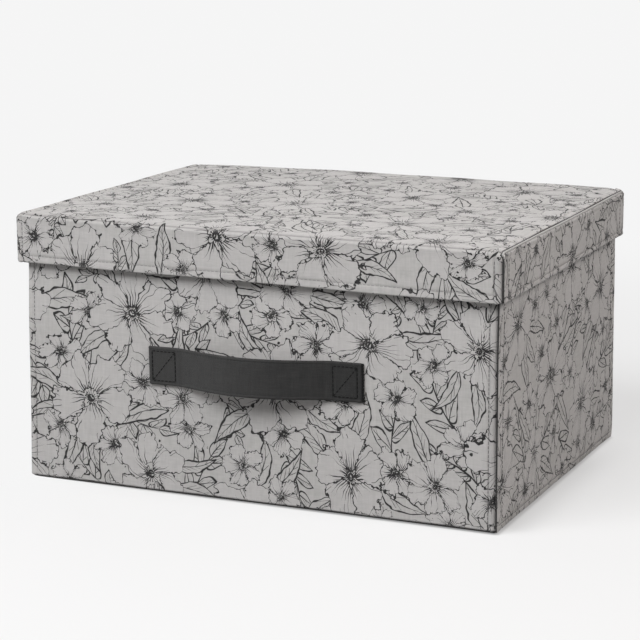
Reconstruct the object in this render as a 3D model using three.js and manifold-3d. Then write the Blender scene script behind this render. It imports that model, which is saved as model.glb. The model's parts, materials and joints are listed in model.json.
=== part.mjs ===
// Clothes storage box: boards in sewn fabric pockets, a lift-off lid and a strap handle.
// Millimetres, +Z up, front towards -Y. The origin is the middle of the base, on the floor.

import * as THREE from 'three';
import { mergeVertices } from 'three/addons/utils/BufferGeometryUtils.js';
import Module from 'manifold-3d';

const wasm = await Module();
wasm.setup();

// Outside of the closed box
const bodyWidth = 400;
const bodyDepth = 300;
const overallHeight = 217;

// Layers of a wall
const coverThickness = 0.8;
const boardThickness = 2.3;
const liningThickness = 0.8;

// Clearances
const layerGap = 0.05; // between layers that lie flat on each other
const fitGap = 0.3; // between pieces that are cut to meet end to end
const seatGap = 0.3; // under the lid and under the loose base insert
const lidClearance = 1; // between the walls and the inside of the lid's rim
const insertClearance = 1; // round the loose base insert

// Sewing
const seamWidth = 1.6;
const bodyHemDepth = 20;
const lidHemDepth = 6;

// Lid
const lidRimHeight = 39;
const lidEdgeRadius = 4;

// Strap handle
const handleSpan = 182;
const handleCentreHeight = 105.5;
const strapWidth = 31;
const strapThickness = 2;
const tabLength = 25;
const handleBow = 15;
const threadWidth = 0.8;
const threadHeight = 0.4;
const stitchMargin = 2;
const patchThickness = 0.5;
const patchMargin = 5;

// Fineness of curved faces
const bendSegments = 6;
const bowSegments = 28;

// Sizes that follow from those above
const halfWidth = bodyWidth / 2;
const halfDepth = bodyDepth / 2;
const innerLayer = Math.max(coverThickness, liningThickness);
const boardInset = coverThickness + layerGap;
const liningInset = boardInset + boardThickness + layerGap;
const wallThickness = liningInset + innerLayer;
const bodyHeight = overallHeight - wallThickness - seatGap;

const lidOverhang = lidClearance + wallThickness;
const lidHalfWidth = halfWidth + lidOverhang;
const lidHalfDepth = halfDepth + lidOverhang;
const lidBottom = overallHeight - lidRimHeight;
const lidSetback = Math.max(lidEdgeRadius, wallThickness);
const lidUnderside = overallHeight - wallThickness;

const handleBottom = handleCentreHeight - strapWidth / 2;
const tabInnerEnd = handleSpan / 2 - tabLength;
const tabCentre = handleSpan / 2 - tabLength / 2;

const finishes = {
  cover: { color: 0xb1aeac, roughness: 0.92, metalness: 0 },
  lining: { color: 0x8f8c8a, roughness: 0.95, metalness: 0 },
  board: { color: 0x9b8e7d, roughness: 0.9, metalness: 0 },
  seam: { color: 0x6f6c6a, roughness: 0.9, metalness: 0 },
  strap: { color: 0x3b3b3b, roughness: 0.8, metalness: 0 },
  thread: { color: 0x242424, roughness: 0.7, metalness: 0 },
};

const box = new THREE.Group();

// Walls stand round the box in turn: each is drawn as a front wall, then turned about Z.
// The front and back run the full width, and the sides stand between them.
function wallsAround(reachX, reachY) {
  const fullHalf = reachX - seamWidth;
  const skinHalf = reachY - seamWidth;
  const betweenHalf = reachY - wallThickness - fitGap;
  const front = { reach: reachY, halfSpan: reachX, skinHalf: fullHalf, stackHalf: fullHalf };
  const side = { reach: reachX, halfSpan: reachY, skinHalf, stackHalf: betweenHalf };
  return [
    { ...front, name: 'front', turn: 0 },
    { ...side, name: 'right', turn: Math.PI / 2 },
    { ...front, name: 'back', turn: Math.PI },
    { ...side, name: 'left', turn: -Math.PI / 2 },
  ];
}

function addPiece(parent, name, finish, geometry) {
  const mesh = new THREE.Mesh(geometry, new THREE.MeshStandardMaterial(finishes[finish]));
  mesh.name = name;
  parent.add(mesh);
  return mesh;
}

function turnedGroup(parent, turn) {
  const group = new THREE.Group();
  group.rotation.z = turn;
  parent.add(group);
  return group;
}

function block([x0, x1], [y0, y1], [z0, z1]) {
  const geometry = new THREE.BoxGeometry(x1 - x0, y1 - y0, z1 - z0);
  return geometry.translate((x0 + x1) / 2, (y0 + y1) / 2, (z0 + z1) / 2);
}

// A flat sheet centred on the Z axis
function level(halfX, halfY, zRange) {
  return block([-halfX, halfX], [-halfY, halfY], zRange);
}

function shapeOf(points) {
  return new THREE.Shape(points.map(([u, v]) => new THREE.Vector2(u, v)));
}

function extrude(shape, depth) {
  return new THREE.ExtrudeGeometry(shape, { depth, bevelEnabled: false, curveSegments: bendSegments });
}

// An outline in Y and Z, carried along X and centred there
function alongX(shape, halfLength) {
  const turned = new THREE.Matrix4().set(0, 0, 1, -halfLength, 1, 0, 0, 0, 0, 1, 0, 0, 0, 0, 0, 1);
  return extrude(shape, 2 * halfLength).applyMatrix4(turned);
}

// An outline in X and Z, made a sheet from yFront to yBack
function upright(shape, yFront, yBack) {
  const turned = new THREE.Matrix4().set(1, 0, 0, 0, 0, 0, -1, yBack, 0, 1, 0, 0, 0, 0, 0, 1);
  return extrude(shape, yBack - yFront).applyMatrix4(turned);
}

// An outline in X and Y, made a post from zLow to zHigh
function post(shape, zLow, zHigh) {
  return extrude(shape, zHigh - zLow).translate(0, 0, zLow);
}

function solidOf(geometry) {
  const bare = geometry.clone();
  bare.deleteAttribute('normal');
  bare.deleteAttribute('uv');
  const merged = mergeVertices(bare);
  const vertProperties = merged.attributes.position.array;
  return new wasm.Manifold(new wasm.Mesh({ numProp: 3, vertProperties, triVerts: merged.index.array }));
}

function geometryOf(solid) {
  const mesh = solid.getMesh();
  const geometry = new THREE.BufferGeometry();
  geometry.setAttribute('position', new THREE.BufferAttribute(mesh.vertProperties, 3));
  geometry.setIndex(new THREE.BufferAttribute(mesh.triVerts, 1));
  geometry.computeVertexNormals();
  return geometry;
}

function joined(first, second) {
  return geometryOf(solidOf(first).add(solidOf(second)));
}

function cut(from, ...tools) {
  return geometryOf(tools.reduce((left, tool) => left.subtract(solidOf(tool)), solidOf(from)));
}

// A quarter round of the seam's width, from the angle start to a quarter turn on
function seamSection(start) {
  const section = new THREE.Shape();
  section.moveTo(0, 0);
  section.absarc(0, 0, seamWidth, start, start + Math.PI / 2, false);
  section.lineTo(0, 0);
  return section;
}

// Outer cover of a body wall: a skin that turns over the top edge and hems down the inside
function bodyCover({ reach, skinHalf, stackHalf }) {
  const skin = block(
    [-skinHalf, skinHalf],
    [-reach, -reach + coverThickness],
    [seamWidth + layerGap, bodyHeight],
  );
  const inside = -reach + wallThickness;
  const fold = shapeOf([
    [-reach + coverThickness / 2, bodyHeight - coverThickness],
    [inside - coverThickness, bodyHeight - coverThickness],
    [inside - coverThickness, bodyHeight - bodyHemDepth],
    [inside, bodyHeight - bodyHemDepth],
    [inside, bodyHeight],
    [-reach + coverThickness / 2, bodyHeight],
  ]);
  return joined(skin, alongX(fold, stackHalf));
}

function bodyBoard({ reach, stackHalf }) {
  return block(
    [-stackHalf, stackHalf],
    [-reach + boardInset, -reach + boardInset + boardThickness],
    [seamWidth + layerGap, bodyHeight - boardInset],
  );
}

function bodyLining({ reach, stackHalf }) {
  return block(
    [-stackHalf, stackHalf],
    [-reach + liningInset, -reach + liningInset + liningThickness],
    [wallThickness + layerGap, bodyHeight - bodyHemDepth - layerGap],
  );
}

// Backing patches lie behind the cover, pressed into the front board under each end of the strap
function patchBlock(centre, margin) {
  const half = tabLength / 2 + margin;
  return block(
    [centre - half, centre + half],
    [-halfDepth + coverThickness + layerGap, -halfDepth + coverThickness + layerGap + patchThickness],
    [handleBottom - margin, handleBottom + strapWidth + margin],
  );
}

function patchRecess(centre) {
  const half = tabLength / 2 + patchMargin + fitGap;
  return block(
    [centre - half, centre + half],
    [-halfDepth, -halfDepth + boardInset + patchThickness + layerGap],
    [handleBottom - patchMargin - fitGap, handleBottom + strapWidth + patchMargin + fitGap],
  );
}

// The sewn end of the strap: a rectangle of thread with one diagonal, as one ridge of stitches
function stitching(centre) {
  const halfX = tabLength / 2 - stitchMargin;
  const halfZ = strapWidth / 2 - stitchMargin;
  const innerX = halfX - threadWidth;
  const innerZ = halfZ - threadWidth;
  const slope = innerZ / innerX;
  const rise = (threadWidth / 2) * Math.hypot(1, slope);
  const run = rise / slope;
  const place = (x, z) => [centre + x, handleCentreHeight + z];
  const outline = shapeOf([
    place(-halfX, -halfZ),
    place(halfX, -halfZ),
    place(halfX, halfZ),
    place(-halfX, halfZ),
  ]);
  const upper = shapeOf([
    place(-innerX, -innerZ + rise),
    place(-innerX, innerZ),
    place(innerX - run, innerZ),
  ]);
  const lower = shapeOf([
    place(-innerX + run, -innerZ),
    place(innerX, innerZ - rise),
    place(innerX, -innerZ),
  ]);
  outline.holes.push(upper, lower);
  const face = -halfDepth - layerGap - strapThickness - layerGap;
  return upright(outline, face - threadHeight, face);
}

// The free middle of the strap bows out from the wall as half a cosine wave
function gripShape() {
  const half = tabInnerEnd - fitGap;
  const wave = Math.PI / (2 * half);
  const inner = [];
  const outer = [];
  for (let i = 0; i <= bowSegments; i += 1) {
    const x = half * ((2 * i) / bowSegments - 1);
    const slope = handleBow * wave * Math.sin(wave * x);
    const y = -halfDepth - fitGap - handleBow * Math.cos(wave * x);
    inner.unshift([x, y]);
    outer.push([x, y - strapThickness * Math.hypot(1, slope)]);
  }
  return shapeOf([...outer, ...inner]);
}

// Body of the box
const body = new THREE.Group();
box.add(body);

for (const wall of wallsAround(halfWidth, halfDepth)) {
  const group = turnedGroup(body, wall.turn);
  addPiece(group, `${wall.name}_cover`, 'cover', bodyCover(wall));
  addPiece(group, `${wall.name}_lining`, 'lining', bodyLining(wall));
  if (wall.name === 'front') {
    const board = cut(bodyBoard(wall), patchRecess(-tabCentre), patchRecess(tabCentre));
    addPiece(group, 'front_board', 'board', board);
  } else {
    addPiece(group, `${wall.name}_board`, 'board', bodyBoard(wall));
  }
  const baseSeam = alongX(seamSection(Math.PI), wall.skinHalf - layerGap);
  const seam = addPiece(group, `${wall.name}_base_seam`, 'seam', baseSeam);
  seam.position.set(0, -wall.reach + seamWidth, seamWidth);
}

const corners = [
  { name: 'front_right', x: 1, y: -1, turn: 0 },
  { name: 'back_right', x: 1, y: 1, turn: Math.PI / 2 },
  { name: 'back_left', x: -1, y: 1, turn: Math.PI },
  { name: 'front_left', x: -1, y: -1, turn: -Math.PI / 2 },
];

for (const corner of corners) {
  const seam = post(seamSection(-Math.PI / 2), 0, bodyHeight);
  const mesh = addPiece(body, `${corner.name}_corner_seam`, 'seam', seam);
  mesh.position.set(corner.x * (halfWidth - seamWidth), corner.y * (halfDepth - seamWidth), 0);
  mesh.rotation.z = corner.turn;
}

// Floor of the box, laid up like a wall
const floorHalfX = halfWidth - liningInset - fitGap;
const floorHalfY = halfDepth - liningInset - fitGap;
addPiece(body, 'bottom_cover', 'cover', level(
  halfWidth - seamWidth - layerGap,
  halfDepth - seamWidth - layerGap,
  [0, coverThickness],
));
addPiece(body, 'bottom_board', 'board', level(
  floorHalfX,
  floorHalfY,
  [boardInset, boardInset + boardThickness],
));
addPiece(body, 'bottom_lining', 'lining', level(
  floorHalfX,
  floorHalfY,
  [liningInset, liningInset + liningThickness],
));

// Strap handle
for (const [side, centre] of [['left', -tabCentre], ['right', tabCentre]]) {
  const tab = block(
    [centre - tabLength / 2, centre + tabLength / 2],
    [-halfDepth - layerGap - strapThickness, -halfDepth - layerGap],
    [handleBottom, handleBottom + strapWidth],
  );
  addPiece(body, `handle_${side}_tab`, 'strap', tab);
  addPiece(body, `handle_${side}_stitching`, 'thread', stitching(centre));
  addPiece(body, `handle_${side}_backing`, 'lining', patchBlock(centre, patchMargin));
}
addPiece(box, 'handle_grip', 'strap', post(gripShape(), handleBottom, handleBottom + strapWidth));

// Loose base insert: a board in a sleeve that is open at the back
const insertHalfX = halfWidth - wallThickness - insertClearance;
const insertHalfY = halfDepth - wallThickness - insertClearance;
const insertBottom = wallThickness + seatGap;
const insertBoardBottom = insertBottom + liningThickness + layerGap;
const insertBoardTop = insertBoardBottom + boardThickness;
const insertTop = insertBoardTop + layerGap + liningThickness;
const pocketHalfX = insertHalfX - liningThickness;
const pocketFront = -insertHalfY + liningThickness;
const insert = new THREE.Group();
box.add(insert);

const sleeve = level(insertHalfX, insertHalfY, [insertBottom, insertTop]);
const pocket = block(
  [-pocketHalfX, pocketHalfX],
  [pocketFront, insertHalfY + fitGap],
  [insertBoardBottom - layerGap, insertBoardTop + layerGap],
);
addPiece(insert, 'insert_sleeve', 'lining', cut(sleeve, pocket));
addPiece(insert, 'insert_board', 'board', block(
  [-pocketHalfX + fitGap, pocketHalfX - fitGap],
  [pocketFront + fitGap, insertHalfY - fitGap],
  [insertBoardBottom, insertBoardTop],
));

// The lid's main cover: one length of fabric over the front rim, the top and the back rim.
// Both ends turn under the rim boards and hem up the inside.
function lidCoverShape() {
  const outerY = lidHalfDepth;
  const innerY = lidHalfDepth - coverThickness;
  const hemY = lidHalfDepth - wallThickness;
  const bendY = lidHalfDepth - lidEdgeRadius;
  const bendZ = overallHeight - lidEdgeRadius;
  const hemTop = lidBottom + lidHemDepth;
  const shape = new THREE.Shape();
  shape.moveTo(-outerY, lidBottom);
  shape.lineTo(-hemY, lidBottom);
  shape.lineTo(-hemY, hemTop);
  shape.lineTo(-hemY - coverThickness, hemTop);
  shape.lineTo(-hemY - coverThickness, lidBottom + coverThickness);
  shape.lineTo(-innerY, lidBottom + coverThickness);
  shape.lineTo(-innerY, bendZ);
  shape.absarc(-bendY, bendZ, lidEdgeRadius - coverThickness, Math.PI, Math.PI / 2, true);
  shape.absarc(bendY, bendZ, lidEdgeRadius - coverThickness, Math.PI / 2, 0, true);
  shape.lineTo(innerY, lidBottom + coverThickness);
  shape.lineTo(hemY + coverThickness, lidBottom + coverThickness);
  shape.lineTo(hemY + coverThickness, hemTop);
  shape.lineTo(hemY, hemTop);
  shape.lineTo(hemY, lidBottom);
  shape.lineTo(outerY, lidBottom);
  shape.absarc(bendY, bendZ, lidEdgeRadius, 0, Math.PI / 2, false);
  shape.absarc(-bendY, bendZ, lidEdgeRadius, Math.PI / 2, Math.PI, false);
  shape.lineTo(-outerY, lidBottom);
  return shape;
}

// The outline of an end of the lid, with its two top corners rounded as the main cover bends
function lidEndOutline(halfSpan, bottom, top, radius) {
  const shape = new THREE.Shape();
  shape.moveTo(-halfSpan, bottom);
  shape.lineTo(halfSpan, bottom);
  shape.absarc(halfSpan - radius, top - radius, radius, 0, Math.PI / 2, false);
  shape.absarc(-halfSpan + radius, top - radius, radius, Math.PI / 2, Math.PI, false);
  shape.lineTo(-halfSpan, bottom);
  return shape;
}

function lidEndCover({ reach, skinHalf, stackHalf }) {
  const outline = lidEndOutline(
    skinHalf - layerGap,
    lidBottom,
    overallHeight - seamWidth - layerGap,
    lidEdgeRadius - seamWidth,
  );
  const inside = -reach + wallThickness;
  const fold = shapeOf([
    [-reach + coverThickness / 2, lidBottom],
    [inside, lidBottom],
    [inside, lidBottom + lidHemDepth],
    [inside - coverThickness, lidBottom + lidHemDepth],
    [inside - coverThickness, lidBottom + coverThickness],
    [-reach + coverThickness / 2, lidBottom + coverThickness],
  ]);
  return joined(upright(outline, -reach, -reach + coverThickness), alongX(fold, stackHalf));
}

// The seam that joins an end cover to the main cover: up the front, over and down the back
function lidEndSeam({ reach, halfSpan }) {
  const outer = lidEndOutline(halfSpan, lidBottom, overallHeight, lidEdgeRadius);
  const inner = lidEndOutline(
    halfSpan - seamWidth,
    lidBottom - seamWidth,
    overallHeight - seamWidth,
    lidEdgeRadius - seamWidth,
  );
  const ring = upright(outer, -reach, -reach + seamWidth);
  return cut(ring, upright(inner, -reach - seamWidth, -reach + 2 * seamWidth));
}

function lidBoard({ name, reach, stackHalf }) {
  const setback = name === 'front' || name === 'back' ? lidSetback : wallThickness;
  return block(
    [-stackHalf, stackHalf],
    [-reach + boardInset, -reach + boardInset + boardThickness],
    [lidBottom + boardInset, overallHeight - setback - layerGap],
  );
}

function lidLining({ reach, stackHalf }) {
  return block(
    [-stackHalf, stackHalf],
    [-reach + liningInset, -reach + liningInset + liningThickness],
    [lidBottom + lidHemDepth + layerGap, lidUnderside - layerGap],
  );
}

const lid = new THREE.Group();
box.add(lid);

const lidCoverHalf = lidHalfWidth - seamWidth - layerGap;
addPiece(lid, 'lid_cover', 'cover', alongX(lidCoverShape(), lidCoverHalf));
addPiece(lid, 'lid_top_board', 'board', level(
  lidCoverHalf,
  lidHalfDepth - lidSetback,
  [overallHeight - boardInset - boardThickness, overallHeight - boardInset],
));
addPiece(lid, 'lid_top_lining', 'lining', level(
  lidCoverHalf,
  lidHalfDepth - lidSetback,
  [overallHeight - liningInset - liningThickness, overallHeight - liningInset],
));

for (const wall of wallsAround(lidHalfWidth, lidHalfDepth)) {
  const group = turnedGroup(lid, wall.turn);
  addPiece(group, `lid_${wall.name}_board`, 'board', lidBoard(wall));
  addPiece(group, `lid_${wall.name}_lining`, 'lining', lidLining(wall));
  if (wall.name === 'left' || wall.name === 'right') {
    addPiece(group, `lid_${wall.name}_cover`, 'cover', lidEndCover(wall));
    addPiece(group, `lid_${wall.name}_seam`, 'seam', lidEndSeam(wall));
  }
}

export default box;
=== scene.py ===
import json
import math

import bpy
import numpy as np
from mathutils import Matrix, Vector


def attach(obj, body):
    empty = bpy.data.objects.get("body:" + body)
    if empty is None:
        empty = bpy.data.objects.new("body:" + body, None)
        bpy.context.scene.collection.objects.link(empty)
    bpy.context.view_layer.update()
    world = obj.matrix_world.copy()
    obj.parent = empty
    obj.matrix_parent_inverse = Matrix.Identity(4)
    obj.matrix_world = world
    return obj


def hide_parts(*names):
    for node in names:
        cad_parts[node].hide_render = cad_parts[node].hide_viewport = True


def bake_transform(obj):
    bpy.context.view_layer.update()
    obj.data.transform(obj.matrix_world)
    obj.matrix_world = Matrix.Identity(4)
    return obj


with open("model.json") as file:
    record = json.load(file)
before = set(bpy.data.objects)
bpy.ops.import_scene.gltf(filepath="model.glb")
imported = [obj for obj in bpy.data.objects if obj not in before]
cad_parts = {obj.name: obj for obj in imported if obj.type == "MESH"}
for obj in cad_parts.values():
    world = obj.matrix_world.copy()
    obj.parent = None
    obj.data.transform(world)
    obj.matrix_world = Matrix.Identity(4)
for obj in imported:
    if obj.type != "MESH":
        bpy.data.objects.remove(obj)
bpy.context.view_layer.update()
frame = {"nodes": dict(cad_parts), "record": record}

# ---------------------------------------------------------------- sizes, in metres
BODY_X, BODY_Y = 0.200, 0.150  # half the body's width and depth
LID_X, LID_Y = 0.205, 0.155  # and the lid's
# for each side, how far its wall reaches from its middle, and how far it stands from the box's middle
BODY_HALF = {
    "front": (BODY_X, BODY_Y), "right": (BODY_Y, BODY_X), "back": (BODY_X, BODY_Y), "left": (BODY_Y, BODY_X),
}
LID_HALF = {"front": (LID_X, LID_Y), "right": (LID_Y, LID_X), "back": (LID_X, LID_Y), "left": (LID_Y, LID_X)}
TURN = {"front": 0.0, "right": math.pi / 2, "back": math.pi, "left": -math.pi / 2}
WALL = 0.004
CLOTH = 0.0008
BODY_TOP = 0.2127
BODY_HEM = 0.020
LID_BOTTOM = 0.178
LID_TOP = 0.217
LID_HEM = 0.006
WIDE_ROLL, TIGHT_ROLL = 0.0062, 0.0012  # radius of a panel's roll into its corner seam, loose or tight
ROLL_ANGLE = math.radians(50)
BASE_ROW = 0.0058  # height of the stitch row along the foot of a side wall
RIM_ROW, END_ROW = 0.0062, 0.0043  # heights of the hem rows above the lid's lower edge, on its rims and ends
BOARD_DEPTH, BOARD_THICKNESS = 0.00085, 0.0023  # a board's depth under the cover's face, and its thickness
PATCH_CENTRE, PATCH_HEIGHT = 0.0785, 0.1055  # where the middles of the strap's backing patches are
COVER_YARN = 0.00062  # the pitch of the printed cloth's yarns
CELL_REACH = 0.45  # how much of a motif map's cell, which is 1 wide, a motif fills to each side

# ---------------------------------------------------------------- camera
CAMERA_PLACE = (0.71753, -1.6329, 0.51048)
AZIMUTH, ELEVATION, ROLL = (math.radians(a) for a in (24.002, 12.435, -0.305))
outward = math.cos(ELEVATION)
back = Vector((math.sin(AZIMUTH) * outward, -math.cos(AZIMUTH) * outward, math.sin(ELEVATION)))
level = Vector((0, 0, 1)).cross(back).normalized()
upward = back.cross(level)
right = level * math.cos(ROLL) + upward * math.sin(ROLL)
up = upward * math.cos(ROLL) - level * math.sin(ROLL)
camera = bpy.data.objects.new("camera", bpy.data.cameras.new("camera"))
bpy.context.scene.collection.objects.link(camera)
camera.matrix_world = Matrix.Translation(CAMERA_PLACE) @ Matrix((right, up, back)).transposed().to_4x4()
camera.data.sensor_width = 36.0
camera.data.lens = 123.486
camera.data.clip_end = 60.0
bpy.context.scene.camera = camera


# ---------------------------------------------------------------- node writing
class Flow:
    """A number or vector that flows through a node tree. Arithmetic on it adds Math nodes."""

    def __init__(self, tree, socket):
        self.tree, self.socket = tree, socket

    def math(self, operation, *others):
        """A Math node of the operation, with this flow as its first value."""
        node = self.tree.nodes.new("ShaderNodeMath")
        node.operation = operation
        for slot, value in zip(node.inputs, (self, *others)):
            connect(self.tree, slot, value)
        return Flow(self.tree, node.outputs[0])

    def __add__(self, other): return self.math("ADD", other)
    def __radd__(self, other): return self.math("ADD", other)
    def __sub__(self, other): return self.math("SUBTRACT", other)
    def __rsub__(self, other): return (self * -1.0).math("ADD", other)
    def __mul__(self, other): return self.math("MULTIPLY", other)
    def __rmul__(self, other): return self.math("MULTIPLY", other)
    def __truediv__(self, other): return self.math("DIVIDE", other)
    def __rtruediv__(self, other): return self.power(-1.0) * other
    def size(self): return self.math("ABSOLUTE")
    def root(self): return self.math("SQRT")
    def fract(self): return self.math("FRACT")
    def floor(self): return self.math("FLOOR")
    def most(self, other): return self.math("MAXIMUM", other)
    def below(self, other): return self.math("LESS_THAN", other)
    def above(self, other): return self.math("GREATER_THAN", other)
    def sine(self): return self.math("SINE")
    def cosine(self): return self.math("COSINE")
    def power(self, other): return self.math("POWER", other)

    def ramp(self, low, high, start=0.0, end=1.0):
        """Eases from start at low to end at high, and is level outside them."""
        node = self.tree.nodes.new("ShaderNodeMapRange")
        node.interpolation_type = "SMOOTHSTEP"
        for slot, value in zip(node.inputs, (self, low, high, start, end)):
            connect(self.tree, slot, value)
        return Flow(self.tree, node.outputs[0])

    def stroke(self, half_width):
        """1 on a line, where self is the distance from it, and 0 past its half width."""
        return self.ramp(half_width * 1.35, half_width * 0.65)

    def parts(self):
        """The three numbers of a vector."""
        node = self.tree.nodes.new("ShaderNodeSeparateXYZ")
        connect(self.tree, node.inputs[0], self)
        return [Flow(self.tree, out) for out in node.outputs]


def connect(tree, slot, value):
    """Links a flow to a socket, or sets the socket to a plain value."""
    if isinstance(value, Flow):
        tree.links.new(value.socket, slot)
    else:
        slot.default_value = value


def vector(tree, x, y, z=0.0):
    """A vector from three numbers, each a flow or a plain value."""
    node = tree.nodes.new("ShaderNodeCombineXYZ")
    for slot, value in zip(node.inputs, (x, y, z)):
        connect(tree, slot, value)
    return Flow(tree, node.outputs[0])


def noise(tree, place, scale, detail=1.0):
    """Smooth noise from about 0.3 to 0.7, with its features 1 / scale apart."""
    node = tree.nodes.new("ShaderNodeTexNoise")
    node.noise_dimensions = "3D"
    connect(tree, node.inputs["Vector"], place)
    connect(tree, node.inputs["Scale"], scale)
    node.inputs["Detail"].default_value = detail
    return Flow(tree, node.outputs["Fac"])


def chance(tree, x, y, z=0.0):
    """A random number from 0 to 1 for each whole place, and three more in a vector."""
    node = tree.nodes.new("ShaderNodeTexWhiteNoise")
    node.noise_dimensions = "3D"
    connect(tree, node.inputs["Vector"], vector(tree, x, y, z))
    return Flow(tree, node.outputs["Value"]), Flow(tree, node.outputs["Color"]).parts()


def effect(name, inputs, outputs, write):
    """A shader node group: write(tree, inputs by name) gives its outputs in order."""
    tree = bpy.data.node_groups.new(name, "ShaderNodeTree")
    kinds = {"vector": "NodeSocketVector", "number": "NodeSocketFloat"}
    for label, kind in inputs:
        tree.interface.new_socket(name=label, in_out="INPUT", socket_type=kinds[kind])
    for label, kind in outputs:
        tree.interface.new_socket(name=label, in_out="OUTPUT", socket_type=kinds[kind])
    entry, leave = tree.nodes.new("NodeGroupInput"), tree.nodes.new("NodeGroupOutput")
    found = write(tree, {label: Flow(tree, entry.outputs[label]) for label, _ in inputs})
    for slot, value in zip(leave.inputs, found):
        connect(tree, slot, value)
    return tree


def use(tree, group, **values):
    """The outputs of an effect placed in tree; values are its inputs by name."""
    node = tree.nodes.new("ShaderNodeGroup")
    node.node_tree = group
    for label, value in values.items():
        connect(tree, node.inputs[label], value)
    return [Flow(tree, out) for out in node.outputs]


def mix(tree, share, first, second):
    """Mixes two colours, second by its share."""
    node = tree.nodes.new("ShaderNodeMix")
    node.data_type = "RGBA"
    connect(tree, node.inputs["Factor"], share)
    connect(tree, node.inputs["A"], first)
    connect(tree, node.inputs["B"], second)
    return Flow(tree, node.outputs["Result"])


# ---------------------------------------------------------------- effects
def write_petal(tree, given):
    """One inked petal in flower radii, its foot at 0 and its tip near 1. Its rim is an oval whose width
    shrinks towards the foot, moved in and out by the flower's noise. Long veins fan out from the foot,
    a closer fan of short ones shades it, and others run in from the rim."""
    along, across, line = given["Along"], given["Across"], given["Line"]
    first, second, kind, wave = given["First"], given["Second"], given["Kind"], given["Wave"]
    half_length = 0.36 + 0.09 * first
    half_width = (0.80 + 0.34 * second) * given["Width"] * along.ramp(0.0, 0.62, 0.5, 1.0)
    lengthwise, sideways = (along - 0.55) / half_length, across / half_width
    rim = (lengthwise * lengthwise + sideways * sideways).root() - 1.0
    rim = rim + (wave - 0.5) * along.ramp(0.25, 0.85, 0.3, 1.25) + (given["Ripple"] - 0.5) * 0.5
    outline = (rim.size() * 0.35).stroke(line)
    inside = rim.below(0.0)

    def fan_of(number_of, spread, bent):
        """Which line of a fan from below the foot is nearest, and how far off it is."""
        fan = across / (along + spread) * number_of + kind * 0.7 + (wave - 0.5) * bent
        number = (fan + 0.5).floor()
        return number, (fan - number).size() * (along + spread) / number_of

    number, beside = fan_of(7.5, 0.15, 1.7)
    length, (other, third, _) = chance(tree, number, kind * 91.0, given["Seed"])
    reach = 0.22 + 0.6 * length
    taper = along.ramp(reach * 0.3, reach, 0.72, 0.0)
    veins = beside.stroke(line * taper) * along.above(0.12) * taper.above(0.03)
    from_rim = rim.above(-0.10 - 0.5 * other) * third.above(0.45) * along.above(0.5)
    veins = veins.most(beside.stroke(line * 0.5) * from_rim * 0.85)
    number, beside = fan_of(15.0, 0.12, 0.8)
    length, _ = chance(tree, number, kind * 37.0, given["Seed"])
    reach = 0.12 + 0.22 * length * length
    shading = beside.stroke(line * 0.5) * along.below(reach) * length.above(0.35)
    return outline.most(veins * inside).most(shading * inside), inside


PETAL_INPUTS = ("Along", "Across", "Width", "Line", "Wave", "Ripple", "First", "Second", "Kind", "Seed")
LEAF_INPUTS = ("Share", "Across", "Length", "Width", "Line", "Wave", "Kind")
MOTIF_INPUTS = [("Place", "vector"), ("Line", "number")]
INKED = [("Ink", "number"), ("Cover", "number")]
PETAL = effect("ink_petal", [(label, "number") for label in PETAL_INPUTS], INKED, write_petal)


def motif_cell(given):
    """The number of the motif map's cell, and the place in it: 0 in its middle and 1 where a motif ends."""
    u, v, _ = given["Place"].parts()
    cell = u.floor()
    return cell, (u - cell - 0.5) / CELL_REACH, (v - 0.5) / CELL_REACH


def write_flower(tree, given):
    """An inked flower for each cell of a motif map: five to seven petals, each over the next, round a
    ring of stamens. Angles are counted in petals, so that each petal is drawn about a whole number."""
    cell, x, y = motif_cell(given)
    _, (first, second, _) = chance(tree, cell, 3.0)
    place = vector(tree, x, y, cell * 7.0)
    x = x + (noise(tree, place, 1.6) - 0.5) * 0.22
    y = y + (noise(tree, vector(tree, x, y, cell * 7.0 + 3.0), 1.6) - 0.5) * 0.22
    radius = (x * x + y * y).root()
    turn = y.math("ARCTAN2", x) / (2 * math.pi)
    petals = 5.0 + (first * 2.4).floor()
    wave = noise(tree, place, 3.6)
    ripple = noise(tree, vector(tree, x, y, cell * 5.0), 9.0)
    pen = noise(tree, vector(tree, x, y, cell * 9.0), 4.5)
    line = given["Line"] * pen.ramp(0.3, 0.7, 0.55, 1.3)
    share = turn * petals + (second - 0.5) * (radius - 0.4) * 0.9
    number = (share + 0.5).floor()
    offset = share - number
    step = (2 * math.pi) / petals
    ink, cover = None, None
    for shift in (-1.0, 0.0, 1.0):
        angle = (offset - shift) * step
        which = (number + shift + 14.0).math("FLOORED_MODULO", petals)
        kind, (one, two, _) = chance(tree, which, cell, 5.0)
        drawn, under = use(
            tree, PETAL, Along=radius * angle.cosine(), Across=radius * angle.sine(), Width=2.05 / petals,
            Line=line, Wave=wave, Ripple=ripple, First=one, Second=two, Kind=kind, Seed=cell,
        )
        if ink is None:
            ink, cover = drawn, under
        else:
            ink, cover = ink.most(drawn * (1.0 - cover)), cover.most(under)
    spokes = 17.0
    spoke = (turn * spokes).floor()
    beside = ((turn * spokes).fract() - 0.5).size() * radius * (2 * math.pi / spokes)
    reach, (_, bend, _) = chance(tree, spoke, cell, 8.0)
    reach = 0.11 + 0.07 * reach
    stamens = beside.stroke(line * 0.6) * radius.below(reach) * radius.above(0.06)
    ahead = radius - reach
    stamens = stamens.most((ahead * ahead + beside * beside).root().stroke(line * 1.5) * bend.above(0.3))
    speckle = noise(tree, vector(tree, x, y, cell * 2.0), 22.0).ramp(0.44, 0.5)
    ring = (radius - 0.068).size().stroke(line * 1.4).most(radius.below(0.075) * speckle)
    core = radius.below(0.07)
    ink = (ink * (1.0 - core)).most(stamens * (1.0 - core)).most(ring)
    return ink, cover


FLOWER = effect("ink_flower", MOTIF_INPUTS, INKED, write_flower)


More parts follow.
